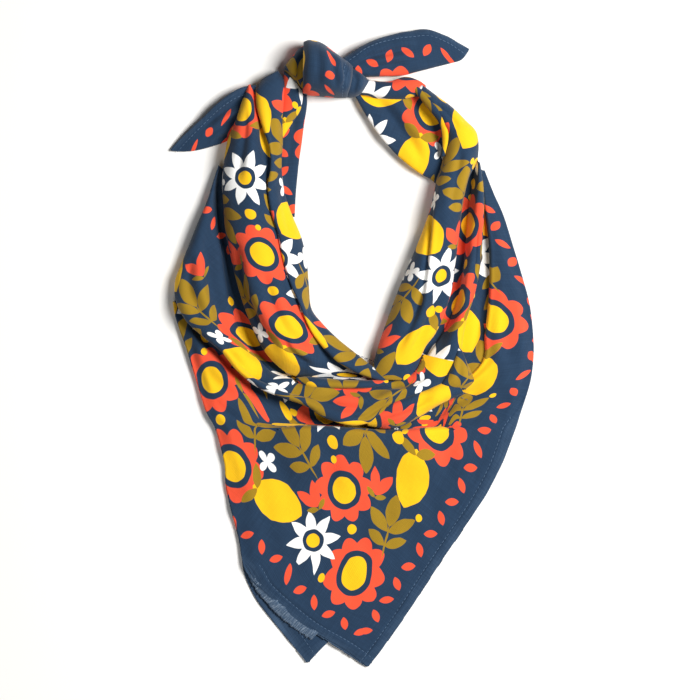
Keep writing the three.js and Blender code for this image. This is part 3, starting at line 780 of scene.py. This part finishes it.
turned_threads = np.stack([8 + 5 * turned_share[..., 0] + 0 * fray,
                           90 + 0.9 * np.arange(96)[:, None] + 0 * fray], -1)
turned_hem = cloth_piece("turned_out_hem", turned_points, turned_threads, sides_up=(1, 0))
turned_hem.data.materials[1] = frayed_side

# ---- The rolls of the loop, the cowl, the knot and the two ends ----
# The folded length of the square, rolled loosely on itself: each stretch shows its outer ply,
# which swells up between two edges and turns in beneath at both.

WALL = 1.5  # mm, the least depth of a folded edge
GRAIN = 1.25  # mm between the points of a roll


def roll(name, rows, fullness, undercut, lay, creases=(), left_end="tuck", right_end="tuck",
         slump=0.0):
    """A stretch of rolled cloth, from rows of left x, y, z, right x, y, z and crown.

    lay is the place of its first row on the print, right of the diagonal and up it, in mm, and its
    turn in degrees; or, where a hem shows, ("left hem" or "last hem", mm from that hem, mm along
    it, or None to end in a corner of the square).
    An edge that tucks turns in beneath; a run goes on outwards, down under the neighbour; a hem
    stops there. slump lowers the right shoulder by that share, or the left one if it is below 0."""
    rows = np.array(rows, float)
    fine = np.linspace(0, len(rows) - 1, 40 * len(rows))
    lines = along_rows(rows, fine)
    strides = [np.linalg.norm(np.diff(lines[:, k:k + 2], axis=0), axis=1) for k in (0, 3)]
    travel = np.concatenate([[0], np.cumsum((strides[0] + strides[1]) / 2)])
    longest = max(stride.sum() for stride in strides)
    steps_along = max(10, int(longest / GRAIN))
    at = np.interp(np.linspace(0, travel[-1], steps_along), travel, fine)
    lines = along_rows(rows, at)
    turn = np.linspace(0 if left_end != "tuck" else -TUCK,
                       math.pi if right_end != "tuck" else math.pi + TUCK, 241)
    flat_side = np.sign(np.cos(turn)) * np.abs(np.cos(turn))**(2 / fullness)
    across, rise = (1 - flat_side) / 2, np.sin(turn)
    rise_full = rise * (1 - max(slump, 0) * smooth(across, 0.45, 1)
                        - max(-slump, 0) * smooth(1 - across, 0.45, 1))
    left, right, crown = lines[:, :3], lines[:, 3:6], np.maximum(lines[:, 6:7], 0.3)
    ring = left[:, None] * (1 - across)[None, :, None] + right[:, None] * across[None, :, None]
    ring[..., 2] += (WALL / 2 * np.tanh(rise / 0.15) + crown * np.maximum(rise_full, 0)
                     - undercut * np.maximum(-rise, 0))
    way = right - left
    way[:, 2] = 0
    way /= np.linalg.norm(way, axis=1, keepdims=True) + 1e-6
    outward = np.linspace(0, RUN, 16)[1:]
    settle = np.exp(-(outward / 1.8)**2)[None, :]
    runs = []
    for edge, side in ((left, -1), (right, 1)):
        run = edge[:, None] + side * way[:, None] * outward[None, :, None]
        run[..., 2] = 1.2 + (edge[:, 2:3] - 1.2) * settle
        runs.append(run)
    if left_end == "run":
        ring = np.concatenate([runs[0][:, ::-1], ring], axis=1)
    if right_end == "run":
        ring = np.concatenate([ring, runs[1]], axis=1)
    ring[..., 2] = np.maximum(ring[..., 2], 0.8)
    stretch = np.concatenate([np.zeros((len(lines), 1)), np.cumsum(
        np.linalg.norm(np.diff(ring, axis=1), axis=2), axis=1)], axis=1)
    points_across = int(np.clip(stretch[:, -1].max() / GRAIN, 16, 140))
    points = np.zeros((len(lines), points_across, 3))
    beside = np.zeros((len(lines), points_across))
    for k, lengths in enumerate(stretch):
        wanted = np.linspace(0, lengths[-1], points_across)
        for axis in range(3):
            points[k, :, axis] = np.interp(wanted, lengths, ring[k, :, axis])
        beside[k] = wanted
    points = pressed(points, creases)
    travelled = np.linspace(0, travel[-1], steps_along)[:, None]
    if lay[0] in ("left hem", "last hem"):
        side, from_hem, along = lay
        if side == "last hem":
            threads = np.stack([from_hem + travel[-1] - travelled + 0 * beside, along + beside], -1)
        else:
            along = CUT - travel[-1] if along is None else along
            threads = np.stack([from_hem + beside, along + travelled + 0 * beside], -1)
        return cloth_piece(name, points, threads)
    beside -= stretch[:, -1:] / 2
    right_of, up, angle = lay
    spin = math.radians(angle)
    b = right_of + beside * math.cos(spin) - travelled * math.sin(spin)
    a = up + beside * math.sin(spin) + travelled * math.cos(spin)
    threads = np.stack([(a - b) / math.sqrt(2), (a + b) / math.sqrt(2)], -1)
    return cloth_piece(name, points, threads)


TUCK = 0.85  # radians past the edge that a roll turns in beneath
RUN = 11.0  # mm that a ply goes on under its neighbour
ROLL, SOFT = 2.2, 3.0

left_inner = roll("left_inner_cloth", [
    [-62, 187.8, 9, -51, 194, 8, 4],
    [-66, 180, 12, -46.4, 186.5, 8, 7],
    [-65.6, 168, 14, -46.4, 175, 8, 7],
    [-61.4, 153, 16, -47.6, 157, 7, 6.5],
    [-57, 140, 18, -47.6, 142, 7, 5],
    [-56, 126, 18.4, -48.4, 127, 7, 5],
    [-58, 112, 18.8, -46.4, 109, 7, 5],
    [-56, 96, 19, -41, 93, 6, 5],
    [-51, 80, 19, -34.8, 78, 6, 5],
    [-48, 64, 19, -31, 62, 6, 5],
    [-43, 47, 19, -29.4, 44, 6, 5],
    [-36, 31, 19, -27.6, 28, 7, 5],
    [-29, 14, 18.6, -20, 17.6, 8, 5],
    [-20, 1, 18, -9.4, 7, 8, 5],
    [-10, -9, 17, 1.2, -1.6, 8, 5],
    [1.6, -16, 15, 11, -9.2, 8, 5],
    [13.6, -20.6, 13, 17.6, -14.6, 9, 4],
    [23.4, -23, 11, 24.6, -20.4, 9, 2],
], ROLL, 14, (-120, 620, 180), [
    ([(-58, 176), (-55, 150), (-52, 128)], 2.0, 1.2, 0.6),
    ([(-49, 118), (-46, 96), (-41, 74)], 2.4, 1.0, 0.6),
    ([(-34, 40), (-26, 20), (-12, 4), (4, -8)], 2.0, 1.1, 0.6),
])
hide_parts("left_inner_roll_1", "left_inner_roll_2", "left_inner_roll_3")

left_main = roll("left_main_cloth", [
    [-71.8, 183.8, 8, -69.6, 184.4, 8, 3],
    [-75.4, 175, 7, -66.4, 176.4, 8, 9],
    [-80.4, 160, 7, -62, 160, 8, 13],
    [-86, 146, 7, -56, 146, 9, 15],
    [-88.6, 132, 7, -52, 130, 10, 16],
    [-90, 116, 7, -51, 112, 10, 17],
    [-89, 98, 7, -49, 94, 10, 17],
    [-87.6, 80, 7, -44, 78, 10, 17],
    [-83.6, 62, 8, -40, 60, 10, 17],
    [-78.6, 42, 9, -35, 42, 10, 17],
    [-72, 22, 9, -28, 24, 10, 17],
    [-63.6, 3, 9, -20, 8, 10, 16],
    [-53.6, -10, 8, -11, -5, 9, 12],
    [-42, -18.4, 6, -2, -13, 6, 6],
    [-27, -21.6, 4, 8, -18.4, 5, 2],
    [-8, -22.6, 3, 19, -21.6, 4, 1],
], ROLL, 16, (-165, 560, 184), [
    ([(-72, 172), (-75, 142), (-80, 112)], 3.4, 2.4, 0.7),
    ([(-67, 182), (-61, 150), (-56, 116), (-52, 84)], 3.0, 2.6, 0.7),
    ([(-83, 84), (-77, 44), (-64, 14), (-46, -8)], 4.6, 3.6, 0.5),
    ([(-62, 60), (-53, 28), (-39, 6), (-20, -8)], 3.4, 2.4, 0.6),
    ([(-50, 12), (-40, -4), (-24, -14)], 2.6, 2.4, 0.7),
], slump=0.45)
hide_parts("left_main_roll_1", "left_main_roll_2")

# One ply runs from the top of the left side, round its outer edge and across the front as the
# cowl's broad band.
outer_fold = roll("left_outer_and_cowl_cloth", [
    [-92.6, 128, 5, -91.4, 127, 4, 2],
    [-96.6, 116, 5, -93.4, 116, 3, 4],
    [-101, 102, 5, -94, 101, 3, 6],
    [-107, 88, 5, -93.4, 88, 3, 8],
    [-113, 73, 5, -92, 74, 3, 9.5],
    [-119, 58, 5, -90, 60, 3, 10.5],
    [-123, 47, 5, -88, 48, 3, 11],
    [-122.4, 33, 7, -85.6, 35, 3, 11],
    [-115, 19, 10, -81, 20, 3, 10],
    [-103, 8, 12, -75.5, 8, 3, 9.5],
    [-90, -3, 12.6, -68, -4, 3, 9],
    [-80, -15, 13, -58, -15, 3, 8],
    [-66, -26.6, 12.4, -43, -21.5, 7, 7],
    [-50, -33.8, 13.6, -38, -24.4, 8, 6.6],
    [-32, -40, 14.4, -28, -24.6, 9, 7],
    [-19, -48, 15, -12, -24.8, 9, 7],
    [-2, -53.4, 15, 3, -24.8, 9, 7],
    [12, -52, 14.6, 16, -24.2, 9, 7],
    [24, -44, 14, 31, -22.6, 9, 7.6],
    [41, -36, 12, 43, -18, 9, 7],
    [60, -28, 11.4, 48, -10, 9, 7],
    [76, -10, 8.4, 50, -4, 8, 7],
], SOFT, 9, (-215, 590, 180), [
    ([(-112, 70), (-112, 40), (-98, 16)], 4.4, 3.2, 0.6),
    ([(-100, 92), (-99, 54), (-91, 24), (-76, 4)], 4.2, 3.4, 0.5),
    ([(-90, 4), (-71, -14), (-46, -24)], 3.2, 3.0, 0.6),
    ([(-76, -12), (-56, -24), (-30, -31), (0, -33)], 2.6, 3.2, 0.7),
    ([(-40, -30), (-20, -37), (4, -42), (24, -38)], 3.0, 2.9, 0.6),
    ([(-10, -48), (8, -48), (26, -38), (46, -28)], 2.6, 2.5, 0.6),
    ([(20, -28), (40, -24), (56, -18)], 2.6, 2.2, 0.6),
], right_end="run", slump=0.55)
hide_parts("left_outer_fold", "cowl_band")

thin_fold = roll("cowl_thin_fold_cloth", [
    [-38.6, -20.4, 10.4, -36.4, -24.4, 10.6, 2],
    [-30, -19.6, 11, -28.4, -27.2, 12.4, 5],
    [-14, -21, 12, -13.6, -27.8, 13.6, 5],
    [2, -22, 12, 2, -27.8, 13.6, 5],
    [14, -22, 11, 14, -27.4, 12.6, 4],
    [26, -21.8, 10.4, 26, -25.2, 11, 2],
], ROLL, 10, (60, 300, 90), [])
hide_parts("cowl_thin_fold")

flap = roll("right_flap_cloth", [
    [75, 2.4, 10, 76.6, 2, 10, 2],
    [71.6, -8, 11.6, 80.6, -9, 10, 6],
    [66.6, -18, 12.6, 84.8, -18.4, 10, 7],
    [62.6, -25.4, 12.6, 85.6, -23.4, 9, 6],
    [68, -29.2, 11, 80, -28.6, 9, 3],
], ROLL, 9, (140, 330, 180), [
    ([(76, -2), (76, -14), (74, -26)], 2.4, 1.2, 0.6),
])
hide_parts("right_flap")

right_inner = roll("right_inner_cloth", [
    [12.6, -21, 7, 44, -23, 7, 5],
    [15.4, -11, 7, 47.4, -11, 7, 9],
    [20, 5, 7, 52, 1, 7, 12],
    [25.6, 21, 7, 61, 14, 7, 14],
    [33, 41, 7, 69.4, 37, 8, 15],
    [40, 58, 7, 72.6, 57, 8, 16],
    [47.6, 76, 7, 75.2, 77.4, 8, 15],
    [55.4, 98, 7, 78, 99.8, 8, 16],
    [59.4, 116.6, 7, 82, 118, 7, 15],
    [64, 132, 7, 88.6, 133, 6, 13],
    [66.4, 147, 8, 88, 150, 6, 12],
    [64, 158, 8, 80, 159.4, 6, 11],
    [57, 167, 8, 70.6, 168.6, 6, 10],
    [50, 175, 8, 58, 178, 6, 8],
    [46, 181, 8, 50, 184, 7, 4],
], ROLL, 14, (120, 330, 0), [
    ([(77, 146), (74, 118), (70, 88)], 3.2, 2.4, 0.6),
    ([(61, 124), (55.4, 94), (51.6, 56), (47, 30), (36, 4)], 1.7, 2.6, 0.5),
    ([(69, 80), (62, 38), (48, 8), (34, -12)], 3.6, 3.2, 0.5),
    ([(52, 46), (42, 18), (30, -6)], 3.2, 2.2, 0.6),
    ([(76, 152), (68, 163), (56, 173)], 2.8, 2.4, 0.7),
])
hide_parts("right_inner_roll_1", "right_inner_roll_2", "right_inner_roll_3")

turned_edge = roll("right_turned_edge_cloth", [
    [42.6, 181.4, 11, 45, 184, 11, 0.8],
    [48, 174.4, 11.6, 52, 178, 13, 2.2],
    [54.6, 166, 12, 59, 169.6, 14, 2.6],
    [61, 157.6, 12.4, 65.8, 160.2, 14, 2.6],
    [63.4, 146.6, 12, 68, 147.6, 14, 2.4],
    [62.6, 134, 11, 65.6, 134, 12, 1.2],
], ROLL, 6, ("left hem", 30, 300), [])

right_middle = roll("right_middle_cloth", [
    [53, -6, 7, 76, -10, 8, 7],
    [61, 6, 3, 78, 5, 8, 8],
    [69, 20, 2, 81, 21, 8, 9],
    [75, 37, 2, 86.4, 38, 8, 10],
    [78.4, 56, 2, 90.4, 58, 8, 10],
    [80.6, 78, 2, 92, 78, 8, 10],
    [82.6, 100, 2, 93, 99, 8, 9],
    [85, 116, 3, 92.4, 114, 8, 8],
    [87, 128, 5, 90.6, 127, 7, 5],
    [87.6, 134, 6, 88.8, 134, 6, 2],
], ROLL, 14, (165, 340, 0), [
    ([(83, 22), (87, 58), (88, 96)], 2.4, 2.6, 0.7),
], left_end="run", slump=-0.5)
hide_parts("right_middle_roll")

lower_roll = roll("cowl_lower_cloth", [
    [9, -49, 12, 12, -54, 11, 3],
    [22, -41, 12, 25, -56, 12, 8],
    [34, -35, 12, 36, -54, 13, 9],
    [47, -30, 12, 50, -46.4, 13, 8],
    [59, -25, 12, 63, -38.6, 13, 7],
    [72, -22, 10, 79, -31.4, 10, 4],
], ROLL, 10, (0, 280, -90), [
    ([(16, -47), (36, -43), (58, -33)], 2.6, 2.8, 0.5),
    ([(24, -53), (40, -48), (58, -39)], 2.0, 0.8, 0.5),
])
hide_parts("cowl_lower_roll")

right_tail = roll("right_end_cloth", [
    [-6, 202.6, 10, 8, 189.6, 8, 5],
    [11, 212.8, 8, 22, 190, 7, 6],
    [24, 218, 6, 35, 190.6, 5, 6],
    [40, 221.6, 5, 47, 193.6, 4, 5],
    [53, 223.2, 4, 60, 197, 3, 4],
    [66, 218.8, 3, 70, 199.6, 2, 3],
    [76, 213.4, 2, 77.4, 202, 1.6, 2],
    [82.8, 209.6, 1, 82.4, 208.2, 1, 0.3],
], SOFT, 12, ("left hem", 0, None), [
    ([(0, 199), (24, 206), (50, 211)], 2.6, 2.8, 0.7),
    ([(6, 206), (26, 213), (50, 218)], 2.0, 1.0, 0.6),
    ([(4, 194), (22, 197), (42, 199)], 2.4, 2.4, 0.6),
], left_end="hem")
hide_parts("right_tail")

left_tail = roll("left_end_cloth", [
    [-66, 184, 10, -72, 150, 2, 1.6],
    [-77.4, 181.6, 10.4, -84, 146, 2, 1.6],
    [-91, 173, 9.6, -95, 142, 2, 1.6],
    [-104, 161, 7, -106, 139, 1.6, 1.4],
    [-117, 149, 4, -116, 137.8, 1.2, 1.0],
    [-126.4, 139.2, 1.4, -125.8, 138.2, 1, 0.3],
], SOFT, 6, ("left hem", 0, None), [
    ([(-70, 176), (-88, 166), (-106, 152)], 2.6, 2.8, 0.6),
    ([(-72, 164), (-88, 157), (-104, 147)], 2.4, 2.0, 0.6),
    ([(-74, 154), (-88, 148), (-100, 143)], 2.0, 1.2, 0.6),
], left_end="hem")
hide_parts("left_tail")

knot_body = roll("knot_wrap_cloth", [
    [-33, 213.6, 14, -33.6, 178, 12, 15.5],
    [-28.5, 214.8, 16, -30, 176.6, 12, 20.5],
    [-20, 212.5, 16, -22, 175.6, 12, 22],
    [-10, 205.2, 16, -12, 174.8, 12, 21],
    [-2, 199.6, 14, -5, 174.8, 11, 17],
    [1.6, 196.4, 13, -2.6, 175.2, 10, 12],
], ROLL, 20, ("last hem", 2, 304), [
    ([(-15, 208), (-11, 193), (-10, 178)], 2.2, 2.4, 0.7),
    ([(-24, 212), (-22, 196), (-24, 180)], 3.0, 1.2, 0.6),
    ([(-6, 201), (-4, 188), (-7, 177)], 1.8, 2.2, 0.6),
])
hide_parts("knot_body")

knot_right = roll("knot_right_cloth", [
    [-3, 198.6, 8, -6, 175.4, 7, 13],
    [4, 194.4, 8, 1.4, 175.4, 7, 13],
    [9.4, 190.2, 8, 7.4, 178, 8, 10],
    [12.8, 186.8, 8, 12, 183.6, 8, 4],
], ROLL, 16, ("last hem", -4, 380), [
    ([(1, 195), (4, 187), (1, 177)], 1.6, 1.8, 0.6),
])
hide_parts("knot_right_turn")

knot_left = roll("knot_left_cloth", [
    [-30, 213.4, 8, -31, 178, 7, 11],
    [-36.4, 209, 8, -35.4, 182.4, 7, 12],
    [-42, 202.8, 8, -40.6, 187.6, 7, 10],
    [-46.6, 196.4, 8, -46.2, 194, 8, 4],
], ROLL, 16, (-200, 380, 90), [
    ([(-33, 206), (-37, 196), (-36, 186)], 1.8, 1.4, 0.8),
])
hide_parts("knot_left_turn")

right_knot = roll("right_knot_cloth", [
    [4, 190, 8, 4, 179, 8, 6],
    [14, 187.4, 8, 10, 176, 7, 6],
    [26, 186.4, 8, 24, 174, 6, 7],
    [38, 189.8, 7, 36, 174, 6, 7],
    [47, 187.4, 6, 46, 176, 6, 6],
    [52, 184, 6, 53, 174, 6, 3],
], ROLL, 12, (120, 420, -90), [])
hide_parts("right_knot_roll")

back_strap = roll("right_back_cloth", [
    [4, 188, 4, 3, 176, 5, 2],
    [22, 186, 2, 10.4, 163, 6, 3],
    [42, 181, 1.4, 19.4, 149.4, 7, 3],
    [60, 172, 1.2, 33, 134.2, 7, 3],
    [73, 154, 1.2, 47, 123, 6, 3],
    [76, 134, 1.2, 55.4, 118.4, 5, 3],
    [72, 118, 1.2, 61, 113, 4, 2],
], SOFT, 6, (40, 420, -60), [
    ([(12, 178), (32, 160), (52, 134)], 3.6, 2.4, 0.7),
    ([(22, 166), (38, 148), (52, 128)], 3.0, 1.8, 0.6),
    ([(34, 180), (52, 163), (64, 140), (66, 126)], 4.6, 2.6, 0.4),
])
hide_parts("right_back_strap")

left_knot = roll("left_knot_cloth", [
    [-47, 194, 6, -34, 181, 6, 6],
    [-48, 184, 6, -33.6, 175, 6, 6],
    [-49, 172, 6, -35.6, 166, 6, 5],
    [-50, 160, 6, -41.4, 157, 5, 4],
    [-50, 148, 5, -47.4, 147.4, 5, 2],
], ROLL, 10, (-20, 560, 180), [])
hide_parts("left_knot_fold")

left_back = roll("left_back_cloth", [
    [-46, 186, 3, -30.8, 180, 3, 2],
    [-52, 170, 3, -31, 170, 3, 2],
    [-54, 150, 3, -33.4, 152, 3, 2],
    [-55, 130, 3, -36.2, 132, 3, 2],
    [-53, 110, 3, -38.4, 110, 3, 2],
    [-47, 92, 3, -39.4, 92, 3, 1],
], SOFT, 4, ("left hem", 5, 120), [
    ([(-40, 176), (-41, 150), (-43, 124)], 3.0, 1.0, 0.6),
])
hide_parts("left_back_strip")

valley = roll("right_valley_cloth", [
    [84, 96, 0.9, 100, 96, 0.9, 0.4],
    [82, 60, 0.9, 103, 60, 0.9, 0.6],
    [78, 30, 1.2, 103, 30, 1.2, 2],
    [70, 5, 2, 101, 5, 2, 3],
    [70, -12, 3, 98, -12, 3, 3],
    [76, -26, 3, 92, -24, 3, 2],
], SOFT, 4, (200, 520, 180), [
    ([(92, 40), (90, 16), (84, -8)], 3.0, 1.6, 0.6),
])
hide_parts("right_valley_layer")

# ---- The stitching of the hems ----
# One row of lockstitch in navy cotton thread, 7 mm in from each hemmed edge, sunk a little into
# the cloth. Each seam is a line on its ply, and the stitches are repeated along it.

STITCH_LENGTH, STITCH_GAP = 0.0022, 0.0008
THREAD_THICKNESS = 0.00045
THREAD_NAVY, THREAD_PALE = "#3A5472", "#5B7590"


def seam_line(name, thread, first=0, last=None, by_row=True):
    """Points of a piece's upper side that lie HEM mm from the edge where that thread is 0."""
    points, threads = cloth_grids[name]
    grid = np.concatenate([points, surface_normals(points), threads[..., thread, None] - HEM], -1)
    if not by_row:
        grid = grid.transpose(1, 0, 2)
    seam = []
    for row in grid[first:last]:
        for one, other in zip(row[:-1], row[1:]):
            if one[6] * other[6] < 0 and one[5] > 0.2:
                share = one[6] / (one[6] - other[6])
                found = one * (1 - share) + other * share
                seam.append(found[:3] + 0.05 * found[3:6])
                break
    return np.array(seam)


seams = [
    seam_line("front_layer", 0, 6, front_steps + 20),
    seam_line("front_layer", 1, 6, 70),
    seam_line("under_layer", 1, 40, 145),
    seam_line("right_end_cloth", 0),
    seam_line("left_end_cloth", 0, 8),
    seam_line("knot_wrap_cloth", 0, by_row=False),
]
seam_points = np.concatenate(seams) - np.array([*CENTRE, 0])
seam_ends = np.cumsum([len(seam) for seam in seams])
seam_edges = [(k, k + 1) for k in range(len(seam_points) - 1) if k + 1 not in seam_ends]
seam_mesh = bpy.data.meshes.new("hem_stitches")
seam_mesh.from_pydata((seam_points / 1000).tolist(), seam_edges, [])
stitches = bpy.data.objects.new("hem_stitches", seam_mesh)
scene.collection.objects.link(stitches)

sewing_thread = bpy.data.materials.new("cotton_sewing_thread")
sewing_thread.use_nodes = True
shader = sewing_thread.node_tree.nodes["Principled BSDF"]
spot = add(sewing_thread, "TexCoord").outputs["Object"]
twist = add(sewing_thread, "TexNoise", spot, 900.0, 2.0)
tone = add(sewing_thread, "Mix", twist, linear(THREAD_NAVY), linear(THREAD_PALE), data_type="RGBA")
sewing_thread.node_tree.links.new(tone.outputs[2], shader.inputs["Base Color"])
shader.inputs["Roughness"].default_value = 0.8
shader.inputs["Sheen Weight"].default_value = 0.1

sewing = bpy.data.node_groups.new("stitches_along_seams", "GeometryNodeTree")
sewing.interface.new_socket("Seams", in_out="INPUT", socket_type="NodeSocketGeometry")
sewing_inputs = {}
for label, kind, value in (("Stitch length", "NodeSocketFloat", STITCH_LENGTH),
                           ("Gap", "NodeSocketFloat", STITCH_GAP),
                           ("Thread thickness", "NodeSocketFloat", THREAD_THICKNESS),
                           ("Seed", "NodeSocketInt", 4),
                           ("Thread", "NodeSocketMaterial", sewing_thread)):
    socket = sewing.interface.new_socket(label, in_out="INPUT", socket_type=kind)
    sewing_inputs[socket.identifier] = value
sewing.interface.new_socket("Stitches", in_out="OUTPUT", socket_type="NodeSocketGeometry")
given = add(sewing, "NodeGroupInput").outputs
pitch = add(sewing, "Math", given["Stitch length"], given["Gap"], operation="ADD")
line = add(sewing, "GeometryNodeMeshToCurve", given["Seams"])
line = add(sewing, "GeometryNodeResampleCurve", line, True, pitch, mode="LENGTH")
number = add(sewing, "GeometryNodeInputIndex")
pull = add(sewing, "FunctionNodeRandomValue", 0.85, 1.12, number, given["Seed"])
thickness = add(sewing, "Math", given["Thread thickness"], pull, operation="MULTIPLY")
length = add(sewing, "Math", given["Stitch length"], pull, operation="MULTIPLY")
shape = add(sewing, "CombineXYZ", thickness, thickness, length)
way = add(sewing, "FunctionNodeAlignRotationToVector", (0, 0, 0), 1.0,
          add(sewing, "GeometryNodeInputTangent"), axis="Z")
stitch = add(sewing, "GeometryNodeMeshUVSphere", 6, 5, 0.5)
sewn = add(sewing, "GeometryNodeInstanceOnPoints", line, True, stitch, False, 0, way, shape)
sewn = add(sewing, "GeometryNodeRealizeInstances", sewn)
sewn = add(sewing, "GeometryNodeSetShadeSmooth", sewn)
sewn = add(sewing, "GeometryNodeSetMaterial", sewn, True, given["Thread"])
add(sewing, "NodeGroupOutput", sewn)

modifier = stitches.modifiers.new("sewing", "NODES")
modifier.node_group = sewing
for identifier, value in sewing_inputs.items():
    modifier[identifier] = value
sewn_mesh = bpy.data.meshes.new_from_object(
    stitches.evaluated_get(bpy.context.evaluated_depsgraph_get()))
stitches.modifiers.clear()
stitches.data = sewn_mesh
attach(stitches, "root")
